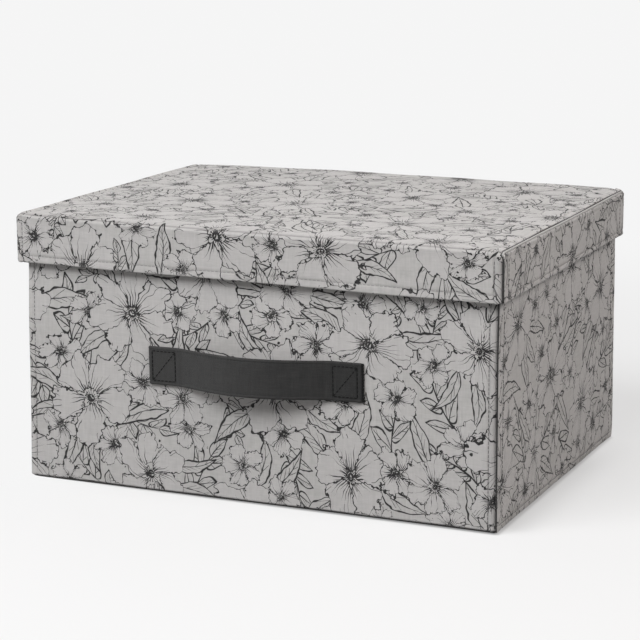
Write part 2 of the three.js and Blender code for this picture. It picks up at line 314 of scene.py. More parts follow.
def write_leaf(tree, given):
    """One inked leaf: its half width is an arch over its length that leans to the foot, with a midrib
    and side veins that slant forward."""
    share, across, line = given["Share"], given["Across"], given["Line"]
    lean = share.power(0.82)
    half = given["Width"] * 4.5 * lean * (1.0 - lean).most(0.0).power(1.25)
    half = half * (1.0 + (given["Wave"] - 0.5) * 0.9)
    within = share.above(0.0) * share.below(1.0)
    inside = across.size().below(half) * within
    outline = ((across.size() - half) * 0.82).size().stroke(line) * share.above(-0.01) * share.below(1.01)
    midrib = (across + (given["Wave"] - 0.5) * 0.05).size()
    midrib = midrib.stroke(line * share.ramp(0.3, 1.0, 0.8, 0.35)) * inside
    slant = (share * given["Length"] - across.size() * 1.9) * 8.0 + given["Kind"]
    number = (slant + 0.5).floor()
    drawn, (length, _, _) = chance(tree, number, across.above(0.0), given["Kind"] * 57.0)
    beside = (slant - number).size() / 8.0 * 0.47
    veins = beside.stroke(line * 0.4) * inside * across.size().below(half * (0.25 + 0.6 * length))
    veins = veins * drawn.above(0.4)
    return outline.most(midrib).most(veins * 0.8), inside


LEAF = effect("ink_leaf", [(label, "number") for label in LEAF_INPUTS], INKED, write_leaf)


def write_sprig(tree, given):
    """An inked sprig for each cell of a motif map: a curved stem, leaves that slant forward from both of
    its sides in turn, and one at its end. Along the slant a leaf is upright, so each keeps to a strip
    of its own."""
    pitch = 0.54
    cell, x, y = motif_cell(given)
    _, (first, second, third) = chance(tree, cell, 11.0)
    wave = noise(tree, vector(tree, x, y, cell * 4.0), 3.0)
    line = given["Line"] * noise(tree, vector(tree, x, y, cell * 6.0), 4.0).ramp(0.3, 0.7, 0.6, 1.3)
    y = y - (x * 2.3 + first * 6.3).sine() * 0.1
    stem = y.size().stroke(line * x.ramp(-1.0, 0.6, 1.5, 0.7)) * x.above(-1.0) * x.below(0.5)
    side = y.above(0.0)
    slanted = x - y.size() * 0.95 + side * (pitch / 2) + second * 0.2
    number = (slanted / pitch + 0.5).floor()
    where = number * pitch - side * (pitch / 2)
    length, (wide, kind, _) = chance(tree, number, side, cell)
    length = (0.55 + 0.22 * length) * where.ramp(-1.0, 0.7, 1.08, 0.72)
    ink, cover = use(
        tree, LEAF, Share=y.size() * 1.38 / length, Across=(slanted - number * pitch) * 0.72, Length=length,
        Width=0.125 + 0.06 * wide, Line=line, Wave=wave, Kind=kind,
    )
    present = where.above(-0.95) * where.below(0.4)
    ink, cover = ink * present, cover * present
    last, last_cover = use(
        tree, LEAF, Share=(x - 0.4) / 0.58, Across=y, Length=0.58, Width=0.14, Line=line, Wave=wave, Kind=third,
    )
    cover = cover.most(last_cover)
    ink = last.most(ink * (1.0 - last_cover)).most(stem)
    return ink, cover


SPRIG = effect("ink_sprig", MOTIF_INPUTS, INKED, write_sprig)


def write_blade(tree, given):
    """One large inked leaf for each cell of a motif map, bent along its length by the square of it."""
    cell, x, y = motif_cell(given)
    _, (first, second, third) = chance(tree, cell, 17.0)
    wave = noise(tree, vector(tree, x, y, cell * 4.0), 2.4)
    line = given["Line"] * noise(tree, vector(tree, x, y, cell * 6.0), 3.0).ramp(0.3, 0.7, 0.65, 1.45)
    y = y - (first - 0.5) * 0.55 * x * x
    return use(
        tree, LEAF, Share=(x + 0.97) / 1.94, Across=y / 1.94, Length=1.0, Width=0.12 + 0.06 * second,
        Line=line / 1.94, Wave=wave, Kind=third,
    )


BLADE = effect("ink_blade", MOTIF_INPUTS, INKED, write_blade)


def write_weave(tree, given):
    """Plain weave: warp and weft yarns pass over each other in turn. A yarn is round across and its
    thickness and shade drift along it, slower lengthwise than across."""
    x, y, z = given["Place"].parts()
    pitch = given["Pitch"]
    drift = noise(tree, given["Place"], 140.0) - 0.5
    x, y = x + drift * pitch * 1.6, y + drift * pitch * 1.2
    across, along = x / pitch, y / pitch
    warp = (across * math.pi).sine().size()
    weft = (along * math.pi).sine().size()
    over = (across.floor() + along.floor()).math("FLOORED_MODULO", 2.0)
    slub_warp = noise(tree, vector(tree, across * 0.9, along * 0.06, z), 1.0, 2.0)
    slub_weft = noise(tree, vector(tree, across * 0.05, along * 0.9, z + 40.0), 1.0, 2.0)
    lift_warp = warp * (0.55 + slub_warp) * (0.45 + 0.55 * over)
    lift_weft = weft * (0.55 + slub_weft) * (1.0 - 0.55 * over)
    height = lift_warp.most(lift_weft)
    broad_warp = noise(tree, vector(tree, across * 0.34, along * 0.02, z + 11.0), 1.0, 2.0)
    broad_weft = noise(tree, vector(tree, across * 0.016, along * 0.3, z + 23.0), 1.0, 2.0)
    shade = (slub_warp - 0.5) * 0.9 + (slub_weft - 0.5) * 1.3 + (height - 0.7) * 0.4
    shade = shade + (broad_warp - 0.5) * 1.3 + (broad_weft - 0.5) * 0.8
    return height, shade


WEAVE = effect(
    "plain_weave", [("Place", "vector"), ("Pitch", "number")], [("Height", "number"), ("Shade", "number")],
    write_weave,
)


def write_wear(tree, given):
    """Handling marks: broad soft patches, paler worn threads where Edge is high, and small specks."""
    place = given["Place"]
    patches = noise(tree, place, 9.0, 2.0) - 0.5
    specks = noise(tree, place, 900.0, 2.0)
    fuzz = noise(tree, place, 240.0, 2.0)
    worn = given["Edge"] * fuzz.ramp(0.42, 0.62)
    return patches * 2.0, worn, specks.ramp(0.66, 0.74)


WEAR = effect(
    "handling_wear",
    [("Place", "vector"), ("Edge", "number")],
    [("Patches", "number"), ("Worn", "number"), ("Specks", "number")],
    write_wear,
)


# ---------------------------------------------------------------- materials
def material(name, **constants):
    """An empty material with a Principled BSDF; constants are set on the shader's own sockets."""
    made = bpy.data.materials.new(name)
    made.use_nodes = True
    shader = made.node_tree.nodes["Principled BSDF"]
    for label, value in constants.items():
        shader.inputs[label.replace("_", " ")].default_value = value
    return made, made.node_tree, shader


def own_map(tree, name):
    """The place on one of the piece's own UV maps."""
    node = tree.nodes.new("ShaderNodeUVMap")
    node.uv_map = name
    return Flow(tree, node.outputs[0])


def own_value(tree, name):
    """A number kept at the piece's own points."""
    node = tree.nodes.new("ShaderNodeAttribute")
    node.attribute_name = name
    return Flow(tree, node.outputs["Fac"])


def object_place(tree):
    """The place in the box's frame, in metres."""
    return Flow(tree, tree.nodes.new("ShaderNodeTexCoord").outputs["Object"])


def bump(tree, height, distance, strength):
    """Normals of a surface that rises by the distance where the height is 1."""
    node = tree.nodes.new("ShaderNodeBump")
    node.inputs["Distance"].default_value = distance
    node.inputs["Strength"].default_value = strength
    connect(tree, node.inputs["Height"], height)
    return Flow(tree, node.outputs["Normal"])


def tint(tree, value, dark, light):
    """A colour between dark and light, as value goes from 0 to 1."""
    return mix(tree, value, (*dark, 1.0), (*light, 1.0))


def finished(made, tree, shader, colour, roughness, normal):
    """The material, with its colour, roughness and normals joined to the shader."""
    connect(tree, shader.inputs["Base Color"], colour)
    connect(tree, shader.inputs["Roughness"], roughness)
    connect(tree, shader.inputs["Normal"], normal)
    return made


def printed_cover():
    """Pale grey linen-look cloth with flowers, leaves and stems drawn on it in dark ink."""
    made, tree, shader = material(
        "printed_cover", Specular_IOR_Level=0.2, Sheen_Weight=0.05, Sheen_Roughness=0.6,
    )
    cloth = own_map(tree, "cloth")
    height, shade = use(tree, WEAVE, Place=cloth, Pitch=COVER_YARN)
    edge = own_value(tree, "edge")
    patches, worn, specks = use(tree, WEAR, Place=cloth, Edge=edge.most(0.0))
    ink, cover = use(tree, FLOWER, Place=own_map(tree, "blooms"), Line=0.0145)
    petals = cover
    for group, name, line in (
        (FLOWER, "blossoms", 0.021), (BLADE, "blades", 0.0205),
        (SPRIG, "sprigs", 0.0145), (SPRIG, "sprays", 0.017),
    ):
        drawn, under = use(tree, group, Place=own_map(tree, name), Line=line)
        if group is FLOWER:
            petals = petals.most(under)
        ink, cover = ink.most(drawn * (1.0 - cover)), cover.most(under)
    cloud = noise(tree, cloth, 170.0, 3.0) - 0.5
    tone = 0.5 + shade * 0.36 + patches * 0.12 - specks * 0.12 + cloud * 0.5
    ground = tint(tree, tone, (0.36, 0.352, 0.343), (0.575, 0.56, 0.548))
    ground = mix(tree, petals * 0.16, ground, (0.60, 0.575, 0.58, 1.0))
    ground = mix(tree, worn * 0.15, ground, (0.62, 0.605, 0.60, 1.0))
    # painted shade: the colour darkens where edge is below 0, where the loose rolls sink into their corner seams
    # and in the lid's front crease and bend
    ground = mix(tree, (edge * -0.25).most(0.0), ground, (0.10, 0.097, 0.095, 1.0))
    dry = shade.ramp(-0.6, 0.7, 1.0, 0.94)
    colour = mix(tree, ink * dry * (1.0 - worn * 0.5), ground, (0.010, 0.0095, 0.010, 1.0))
    roughness = 0.93 - ink * 0.12 - shade * 0.08
    return finished(made, tree, shader, colour, roughness, bump(tree, height, 0.00022, 0.8))


def plain_cloth(name, dark, light, pitch, lift, uses_map=True):
    """Unprinted cloth, on the piece's own cloth map or, on a CAD node, on its place."""
    made, tree, shader = material(name, Specular_IOR_Level=0.25, Sheen_Weight=0.1, Sheen_Roughness=0.6)
    place = own_map(tree, "cloth") if uses_map else object_place(tree)
    height, shade = use(tree, WEAVE, Place=place, Pitch=pitch)
    edge = own_value(tree, "edge") if uses_map else 0.0
    patches, worn, specks = use(tree, WEAR, Place=place, Edge=edge)
    tone = 0.5 + shade * 0.5 + patches * 0.16 - specks * 0.1 + worn * 0.35
    colour = tint(tree, tone, dark, light)
    return finished(made, tree, shader, colour, 0.92 - shade * 0.08, bump(tree, height, lift, 0.9))


def felted(name, dark, light):
    """Non-woven lining: short fibres pressed into a sheet with a close pattern of dimples."""
    dimple = 0.0011
    made, tree, shader = material(name, Specular_IOR_Level=0.2, Sheen_Weight=0.1, Sheen_Roughness=0.7)
    place = own_map(tree, "cloth")
    x, y, _ = place.parts()
    dimples = ((x / dimple * math.pi).sine() * (y / dimple * math.pi).sine()).size()
    fibres = noise(tree, place, 1500.0, 3.0) - 0.5
    cloud = noise(tree, place, 60.0, 3.0) - 0.5
    patches, worn, _ = use(tree, WEAR, Place=place, Edge=own_value(tree, "edge"))
    tone = 0.5 + fibres * 0.9 + cloud * 0.7 - dimples * 0.12 + patches * 0.1 + worn * 0.3
    colour = tint(tree, tone, dark, light)
    normal = bump(tree, fibres * 1.2 - dimples, 0.00012, 0.8)
    return finished(made, tree, shader, colour, 0.94 + fibres * 0.1, normal)


def grey_board():
    """Recycled board: a dull brown-grey ground with fibres and flecks."""
    made, tree, shader = material("grey_board", Specular_IOR_Level=0.3)
    place = object_place(tree)
    fibres = noise(tree, place, 700.0, 4.0) - 0.5
    cloud = noise(tree, place, 30.0, 3.0) - 0.5
    flecks = noise(tree, place, 1300.0, 1.0).ramp(0.7, 0.76)
    tone = 0.5 + fibres * 0.8 + cloud * 0.6 - flecks * 0.4
    colour = tint(tree, tone, (0.25, 0.20, 0.15), (0.42, 0.35, 0.27))
    return finished(made, tree, shader, colour, 0.88 + fibres * 0.1, bump(tree, fibres, 0.0002, 0.6))


def webbing():
    """Charcoal strap: close ribs across its length, its edges paler from wear and a painted highlight, and
    painted light that makes it paler towards its left and darker at its right.
    """
    made, tree, shader = material(
        "strap_webbing", Specular_IOR_Level=0.25, Sheen_Weight=0.06, Sheen_Roughness=0.5,
    )
    # painted light: paler along the strap's left part, which faces the main lamp, and darker to its right
    painted_light_along = 0.58 - object_place(tree).parts()[0].ramp(-0.048, 0.035) * 0.70
    place = own_map(tree, "cloth")
    height, shade = use(tree, WEAVE, Place=place, Pitch=0.00045)
    patches, worn, specks = use(tree, WEAR, Place=place, Edge=own_value(tree, "edge"))
    cloud = noise(tree, place, 120.0, 3.0) - 0.5
    tone = 0.42 + painted_light_along + shade * 0.3 + patches * 0.12 + cloud * 0.5 + worn * 0.4 + specks * 0.3
    colour = tint(tree, tone, (0.0125, 0.0125, 0.0125), (0.038, 0.0375, 0.037))
    return finished(made, tree, shader, colour, 0.8 - shade * 0.1, bump(tree, height, 0.0002, 0.8))


def thread(name, dark, light, gloss=0.4):
    """Sewing thread: plies that wind round it, as a sine wave of the place along and a little round it."""
    made, tree, shader = material(name, Specular_IOR_Level=gloss, Sheen_Weight=gloss / 4)
    x, y, _ = own_map(tree, "cloth").parts()
    plies = (x * 5200.0 + y * 9.0).sine() * 0.5 + 0.5
    fuzz = noise(tree, object_place(tree), 1800.0, 2.0)
    colour = tint(tree, plies * 0.7 + fuzz * 0.3, dark, light)
    return finished(made, tree, shader, colour, 0.6 + fuzz * 0.25, bump(tree, plies, 0.0001, 0.7))


COVER = printed_cover()
SEAM = plain_cloth("dark_seam", (0.012, 0.0115, 0.0115), (0.04, 0.038, 0.037), 0.0005, 0.0002)
BASE_CLOTH = plain_cloth("base_cloth", (0.17, 0.165, 0.16), (0.27, 0.262, 0.255), 0.0008, 0.0003)
LINING = felted("lining_felt", (0.27, 0.262, 0.255), (0.42, 0.41, 0.40))
PATCH = plain_cloth("patch_cloth", (0.2, 0.195, 0.19), (0.32, 0.31, 0.3), 0.0008, 0.0003, uses_map=False)
WELT = plain_cloth("welt_cloth", (0.34, 0.332, 0.325), (0.50, 0.49, 0.48), COVER_YARN, 0.00022)
BOARD = grey_board()
STRAP = webbing()
PALE_THREAD = thread("pale_thread", (0.19, 0.185, 0.18), (0.34, 0.33, 0.325))
GREY_THREAD = thread("grey_thread", (0.045, 0.043, 0.042), (0.115, 0.11, 0.108))
DARK_THREAD = thread("dark_thread", (0.003, 0.003, 0.003), (0.009, 0.009, 0.009), gloss=0.1)


# ---------------------------------------------------------------- shapes
def stations(low, high, step, finer=(), fine=0.0004, reach=0.002):
    """Places from low to high about step apart, closer round the places in finer: equal parts of the
    running sum of one over the wanted spacing."""
    dense = np.linspace(low, high, 24001)
    near = np.zeros_like(dense)
    for at in finer:
        near = np.maximum(near, np.exp(-(((dense - at) / reach) ** 2)))
    density = 1 / step + near * (1 / fine - 1 / step)
    total = np.concatenate([[0], np.cumsum((density[1:] + density[:-1]) / 2 * np.diff(dense))])
    return np.interp(np.linspace(0, total[-1], int(math.ceil(total[-1])) + 1), total, dense)


def track(corners, radii):
    """A flat path through corners, given as complex numbers or pairs, whose bends are arcs: a bend of
    radius r begins and ends at r times the tangent of half its turn from its corner. Gives points 0.05 mm
    apart, their running length, and where each bend begins and ends."""
    points = np.array([complex(*c) for c in corners])
    pieces, bends, done = [points[:1]], [], 0.0
    for before, corner, after, radius in zip(points[:-2], points[1:-1], points[2:], radii):
        ahead, onward = corner - before, after - corner
        ahead, onward = ahead / abs(ahead), onward / abs(onward)
        turn = np.angle(onward / ahead)
        start = corner - ahead * radius * math.tan(abs(turn) / 2)
        middle = start + 1j * np.sign(turn) * radius * ahead
        done += abs(start - pieces[-1][-1])
        bends.append((done, done + radius * abs(turn)))
        done += radius * abs(turn)
        pieces.append(middle + (start - middle) * np.exp(1j * np.linspace(0, turn, 90)))
    dense = np.concatenate([*pieces, points[-1:]])
    length = np.concatenate([[0], np.cumsum(abs(np.diff(dense)))])
    run = np.linspace(0, length[-1], int(length[-1] / 0.00005))
    return np.interp(run, length, dense.real) + 1j * np.interp(run, length, dense.imag), run, bends


def along_track(path, run, at):
    """Points of a path at running lengths, and the unit normals on its left."""
    reach = 0.00012
    at = np.asarray(at)

    def point(v):
        """The path's point at a running length."""
        return np.interp(v, run, path.real) + 1j * np.interp(v, run, path.imag)

    normal = 1j * (point(np.minimum(at + reach, run[-1])) - point(np.maximum(at - reach, 0)))
    return point(at), normal / abs(normal)


def nearest_run(path, run, place):
    """The running length of the path's point that is nearest to a place."""
    return float(run[np.argmin(abs(path - complex(*place)))])


def rolled(s, flat_half, radius):
    """Across a panel: flat out to flat_half, then round a bend. Gives the place across, which is
    flat_half plus r times the sine of the angle gone, and the set-back, r less r times its cosine."""
    gone = np.clip(np.abs(s) - flat_half, 0, None) / radius
    return np.sign(s) * (np.minimum(np.abs(s), flat_half) + radius * np.sin(gone)), radius * (1 - np.cos(gone))


def groove(x, width, depth):
    """A smooth valley along x = 0: less the depth times e to the power of less the square of x over the
    width."""
    return -depth * np.exp(-((x / width) ** 2))


def turned(points, angle):
    """Points turned about the upright axis."""
    c, s = math.cos(angle), math.sin(angle)
    x, y, z = points[..., 0], points[..., 1], points[..., 2]
    return np.stack([x * c - y * s, x * s + y * c, z], -1)


def rounding(height, radius):
    """How far a round corner of the radius draws in at a height above its end: r less the root of r
    squared less (r - height) squared."""
    t = np.clip(1 - height / radius, 0, 1)
    return radius * (1 - np.sqrt(1 - t**2))


def settle_body(p):
    """The body at ease: it stands a little wider at the base than under the lid, its lowest corners are
    rounded, which fades as a soft bell of the distance from them, and its walls bow by a fraction of a
    millimetre. The right corners tip out instead, the front leans in under the lid, and the base draws
    up a little along the front and the right."""
    x, y, z = p[..., 0], p[..., 1], p[..., 2]
    towards = np.clip(np.abs(x) / BODY_X, 0, 1) ** 3
    on_left, on_right = 0.0026 - 0.0250 * z + 0.045 * z * z, (0.0005 - 0.0035 * z) * (1 + 0.3 * y / BODY_Y)
    spread = np.where(x < 0, on_left, on_right)
    bell = np.exp(-(((BODY_X - np.abs(x)) / 0.005) ** 2 + ((BODY_Y - np.abs(y)) / 0.005) ** 2))
    pull = rounding(z, 0.0026) * bell * np.where(x < 0, 0.6, -0.35)
    high = np.clip((z - 0.125) / 0.055, 0, 1)
    lean = 0.0015 * high**2 * (3 - 2 * high) * np.clip(-y / BODY_Y, 0, 1) ** 4
    wave = 0.00022 * np.sin(x * 23 + y * 17 + 1.0) * np.sin(z * 21 + 0.6)
    front_edge = 0.0010 * np.clip((x + 0.17) / 0.2, 0, 1) * np.clip((-y - 0.13) / 0.02, 0, 1)
    right_edge = 0.0007 * np.clip((x - 0.17) / 0.025, 0, 1)
    low = np.clip(1 - z / 0.012, 0, 1) * np.maximum(front_edge, right_edge * (1 - 0.4 * bell))
    return np.stack([
        x + np.sign(x) * (spread * towards - pull) + wave * towards,
        y - np.sign(y) * pull + wave * np.clip(np.abs(y) / BODY_Y, 0, 1) ** 4 + lean,
        z + low,
    ], -1)


def settle_lid(p):
    """The lid at ease: its corners are rounded a little, above and below, its top is crowned by a
    millimetre along the back, its left end reaches out by 0.5 mm and tips by up to 1.6 mm, its rim
    droops by a millimetre at the front right, and its top and rims wander by a fraction of one."""
    x, y, z = p[..., 0], p[..., 1], p[..., 2]
    bell = np.exp(-(((LID_X - np.abs(x)) / 0.005) ** 2 + ((LID_Y - np.abs(y)) / 0.005) ** 2))
    pull = (rounding(LID_TOP - z, 0.0030) * 0.5 + rounding(z - LID_BOTTOM, 0.0015) * 0.4) * bell
    crown = 0.0011 * np.cos(math.pi * np.clip(x / (2 * LID_X), -0.5, 0.5))
    crown = crown * (0.35 + 0.65 * np.clip(y / LID_Y, 0, 1))
    wander = 0.00025 * np.sin(x * 19 + 0.4) * np.sin(y * 26 + 1.1)
    edge = 0.00022 * np.sin(x * 27 + y * 31)
    slip = -0.0005 * np.clip(-x / 0.2, 0, 1) ** 3
    tilt = np.where(y < 0, -0.0016, -0.0011) * (y / LID_Y) * np.clip(-x / 0.2, 0, 1) ** 2
    droop = (0.00005 + 0.00095 * x / LID_X) * np.clip(0.5 - 0.5 * y / LID_Y, 0, 1)
    droop = droop * np.clip((0.2 - z) / 0.02, 0, 1)
    on_top, on_rim = np.clip((z - 0.19) / 0.02, 0, 1), np.clip((0.195 - z) / 0.02, 0, 1)
    return np.stack([
        x - np.sign(x) * pull + slip,
        y - np.sign(y) * pull,
        z + (wander + crown + tilt) * on_top + edge * on_rim - droop,
    ], -1)


def settle_lid_cloth(p):
    """As settle_lid, and the lid's cloth and seams also slope down by 1.8 mm to the front edge, less so
    at its left end, and by 0.8 mm to the right edge, as the square of how far they are along the last
    7 mm. A shallow valley runs along the top 10 mm from the right edge."""
    x, y, z = p[..., 0], p[..., 1], p[..., 2]
    ahead = np.clip((-y - 0.148) / 0.007, 0, 1)
    less = 1 - 0.9 * np.clip((-x - 0.190) / 0.012, 0, 1)
    beside = np.clip((x - 0.197) / 0.007, 0, 1)
    valley = 0.0005 * np.exp(-(((x - 0.1945) / 0.0016) ** 2))
    down = 0.0018 * less * ahead**2 + (0.0008 * beside**2 + valley) * (1 - ahead)
    down = down * np.clip((z - 0.19) / 0.023, 0, 1)
    return settle_lid(p) - np.stack([0 * down, 0 * down, down], -1)


def as_mesh(name, points, quads, maps, edge, finish, body, nodes=(), caps=(), settle=None, sharp=None):
    """Puts arrays into a mesh object. points is (n, 3), quads (f, 4), caps further faces, each array of
    one size, maps UV coordinates of the quads' corners by name, edge how worn each point is, or, below
    0, how much painted shade darkens its colour, and sharp marks the points whose shared edges stay crisp."""
    if settle is not None:
        points = settle(points)
    mesh = bpy.data.meshes.new(name)
    corners = np.concatenate([quads.ravel(), *[c.ravel() for c in caps]]).astype(np.int32)
    sizes = [np.full(len(quads), 4), *[np.full(len(c), c.shape[1]) for c in caps]]
    sizes = np.concatenate(sizes).astype(np.int32)
    mesh.vertices.add(len(points))
    mesh.vertices.foreach_set("co", points.astype(np.float32).ravel())
    mesh.loops.add(len(corners))
    mesh.loops.foreach_set("vertex_index", corners)
    mesh.polygons.add(len(sizes))
    mesh.polygons.foreach_set("loop_start", np.concatenate([[0], np.cumsum(sizes)[:-1]]).astype(np.int32))
    mesh.polygons.foreach_set("loop_total", sizes)
    mesh.polygons.foreach_set("use_smooth", np.ones(len(sizes), bool))
    mesh.update(calc_edges=True)
    for label, uv in maps.items():
        layer = mesh.uv_layers.new(name=label, do_init=False)
        full = np.zeros((len(corners), 2), np.float32)
        full[: uv.size // 2] = uv.reshape(-1, 2)
        layer.uv.foreach_set("vector", full.ravel())
    worn = mesh.attributes.new("edge", "FLOAT", "POINT")
    worn.data.foreach_set("value", np.broadcast_to(edge, len(points)).astype(np.float32))
    if sharp is not None:
        ends = np.empty(2 * len(mesh.edges), np.int32)
        mesh.edges.foreach_get("vertices", ends)
        crisp = mesh.attributes.new("sharp_edge", "BOOLEAN", "EDGE")
        crisp.data.foreach_set("value", sharp[ends.reshape(-1, 2)].all(1))
    mesh.validate()
    piece = bpy.data.objects.new(name, mesh)
    bpy.context.scene.collection.objects.link(piece)
    piece.data.materials.append(finish)
    if body:
        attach(piece, body)
    if nodes:
        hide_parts(*nodes)
    return piece


def grid_quads(rows, columns, start=0, flip=False, wrap=False):
    """Quads of a grid of points numbered row by row from start. wrap joins the last row to the first."""
    i = np.arange(rows if wrap else rows - 1)[:, None]
    j = np.arange(columns - 1)[None, :]
    here, beyond = i * columns + j, (i + 1) % rows * columns + j
    quads = np.stack([here, here + 1, beyond + 1, beyond], -1).reshape(-1, 4)
    return (quads[:, ::-1] if flip else quads) + start


def rim_quads(rows, columns):
    """Quads that join the borders of two equal grids, the second numbered after the first."""
    n = rows * columns
    low = np.arange(columns)
    high = low + (rows - 1) * columns
    left = np.arange(rows) * columns
    far = left + columns - 1
    loop = np.concatenate([low, far[1:], high[-2::-1], left[-2:0:-1]])
    onward = np.roll(loop, -1)
    return np.stack([loop, loop + n, onward + n, onward], -1)


def surface_normals(grid):
    """Unit normals of a grid of points, from its slopes along both parameters."""
    down, over = np.gradient(grid, axis=0), np.gradient(grid, axis=1)
    normal = np.cross(over, down)
    return normal / np.maximum(np.linalg.norm(normal, axis=-1, keepdims=True), 1e-12)


# ---------------------------------------------------------------- layout of the print
def scatter(rng, area, radii, tries, keep, placed=()):
    """Random circles in an area, (x, y, radius), each kept if keep(circle, placed) allows it."""
    found = list(placed)
    for _ in range(tries):
        low, high = radii
        circle = (rng.uniform(*area[0]), rng.uniform(*area[1]), rng.uniform(low, high))
        if keep(circle, found):
            found.append(circle)
    return found[len(placed):]


def apart(circle, others, gap):
    """Whether a circle lies clear of the others by more than the gap."""
    return all(math.hypot(circle[0] - o[0], circle[1] - o[1]) > circle[2] + o[2] + gap for o in others)


def print_layout(seed, width, height):
    """Where a panel's motifs lie: large flowers first, smaller ones in the gaps between them and partly
    under them, then large leaves and two layers of sprigs that grow out from under the flowers, each
    where it fills most of what is still bare. Each motif is a centre and a 2 x 2 matrix from metres to
    its own units."""
    rng = np.random.RandomState(seed)
    spacing = 0.005  # of the places at which bare cloth is counted
    area = ((-0.03, width + 0.03), (-0.03, height + 0.03))
    blooms = []
    for radii in ((0.037, 0.043), (0.031, 0.036), (0.025, 0.029)):
        blooms += scatter(rng, area, radii, 500, lambda c, found: apart(c, found, 0.001), blooms)

    def beside(circle, found):
        """Whether a smaller flower lies mostly clear of the large ones, and clear of its like."""
        x, y, radius = circle
        clear = all(math.hypot(x - b[0], y - b[1]) > 0.78 * b[2] + 0.15 * radius for b in blooms)
        return clear and apart(circle, found, 0.0015)

    blossoms = []
    for radii in ((0.018, 0.022), (0.015, 0.018)):
        blossoms += scatter(rng, area, radii, 700, beside, blossoms)
    across, along = np.arange(-0.01, width + 0.01, spacing), np.arange(-0.01, height + 0.01, spacing)
    bare = np.array(np.meshgrid(across, along)).reshape(2, -1).T
    for x, y, radius in blooms + blossoms:
        bare = bare[np.hypot(*(bare - (x, y)).T) > 0.86 * radius]

    def flower_frames(circles):
        """Flowers, each turned at random and squeezed along a line of its own."""
        frames = []
        for x, y, radius in circles:
            lean, turn, squeeze = rng.uniform(0, math.pi), rng.uniform(0, 2 * math.pi), rng.uniform(0.78, 1.0)
            c, s = math.cos(lean), math.sin(lean)
            tilt = np.array([[c, -s], [s, c]]) @ np.diag([1, 1 / squeeze]) @ np.array([[c, s], [-s, c]])
            c, s = math.cos(turn), math.sin(turn)
            frames.append(((x, y), np.array([[c, -s], [s, c]]) @ tilt / radius))
        return frames

    def grown_frames(roots, halves, girth, reach_of_root, bare):
        """Leaves or sprigs of one layer. girth is how wide one is, as a share of its half length."""
        frames, spines = [], []
        roots = np.array(roots)
        for _ in range(90):
            best, chosen = 0.3, None
            for _ in range(14):
                x, y, radius = roots[rng.randint(len(roots))]
                heading, half = rng.uniform(0, 2 * math.pi), rng.uniform(*halves)
                way = np.array([math.cos(heading), math.sin(heading)])
                foot = np.array([x, y]) + way * radius * reach_of_root
                middle = foot + way * half
                own = (bare - middle) @ np.array([[way[0], -way[1]], [way[1], way[0]]])
                filled = (np.abs(own[:, 0]) < half) & (np.abs(own[:, 1]) < girth * half)
                gain = filled.sum() * spacing**2 / (4 * girth * half**2)
                if gain <= best:
                    continue
                spine = foot + way * half * np.linspace(0.1, 2, 9)[:, None]
                if all(
                    np.linalg.norm(spine[:, None] - near[None], axis=-1).min() > 0.8 * girth * (half + near_half)
                    for near, near_half in spines
                ):
                    best, chosen = gain, (spine, half, way, middle, filled)
            if chosen is None:
                continue
            spine, half, way, middle, filled = chosen
            bare = bare[~filled]
            spines.append((spine, half))
            turn = np.array([[way[0], way[1]], [-way[1], way[0]]])
            if rng.rand() < 0.5:
                turn[1] *= -1
            frames.append((tuple(middle), turn / half))
        return frames, bare

    blades, bare = grown_frames(blooms, (0.019, 0.027), 0.27, 0.6, bare)
    sprigs, bare = grown_frames(blooms + blossoms, (0.028, 0.042), 0.42, 0.6, bare)
    sprays, bare = grown_frames(blooms + blossoms, (0.020, 0.032), 0.42, 0.8, bare)
    return {
        "blooms": (flower_frames(blooms), 1.0),
        "blossoms": (flower_frames(blossoms), 1.0),
        "blades": (blades, 1.7),
        "sprigs": (sprigs, 1.7),
        "sprays": (sprays, 1.7),
    }


def motif_map(frames, stretch, corners, seed):
    """A motif map: each face goes to the motif that it is nearest to, in that motif's own units, and its
    corners get their place in that motif's cell, which is one unit wide. A face of no motif gets a blank
    corner of its cell. stretch is how much sooner a motif ends across than along."""
    middle = corners.mean(1)
    best = np.full(len(corners), np.inf)
    places = np.full(corners.shape, 0.02)
    for number, (centre, matrix) in enumerate(frames):
        near = np.flatnonzero(np.abs(middle - centre).max(1) < 0.06)
        if not len(near):
            continue
        own = (corners[near] - centre) @ matrix.T
        x, y = own.mean(1).T
        score = np.hypot(x, y) if stretch == 1.0 else np.maximum(np.abs(x), np.abs(y) * stretch)
        fits = (score < best[near]) & (np.abs(own).max((1, 2)) < 1.1) & (score < 1.12)
        chosen = near[fits]
        best[chosen] = score[fits]
        cell = seed * 100 + number
        places[chosen] = own[fits] * CELL_REACH + 0.5 + np.array([cell, 0])
    return places


def printed_maps(seed, u, v, quads):
    """The cloth map of a panel, in metres, and its motif maps."""
    flat = np.stack([u.ravel(), v.ravel()], -1)
    count = len(flat)
    corners = flat[quads % count]
    low, high = flat.min(0), flat.max(0)
    layout = print_layout(seed, *(high - low))
    maps = {"cloth": corners}
    for label, (frames, stretch) in layout.items():
        maps[label] = motif_map(frames, stretch, corners - low, seed)
    return maps


def cloth_piece(name, grid, u, v, edge, finish, body, nodes, seed=None, thickness=CLOTH, settle=None):
    """A sheet of cloth: the grid is its outer face, and its inner face lies its thickness inside, along
    the normals. u and v are the sheet's own lengths, so that its weave and print follow it."""
    rows, columns = grid.shape[:2]
    inner = grid - surface_normals(grid) * thickness
    points = np.concatenate([grid.reshape(-1, 3), inner.reshape(-1, 3)])
    quads = np.concatenate([
        grid_quads(rows, columns),
        grid_quads(rows, columns, rows * columns, flip=True),
        rim_quads(rows, columns),
    ])
    if seed is None:
        flat = np.stack([u.ravel(), v.ravel()], -1)
        maps = {"cloth": flat[quads % len(flat)]}
    else:
        maps = printed_maps(seed, u, v, quads)
    worn = np.tile(np.broadcast_to(edge, (rows, columns)).ravel(), 2)
    return as_mesh(name, points, quads, maps, worn, finish, body, nodes, settle=settle)


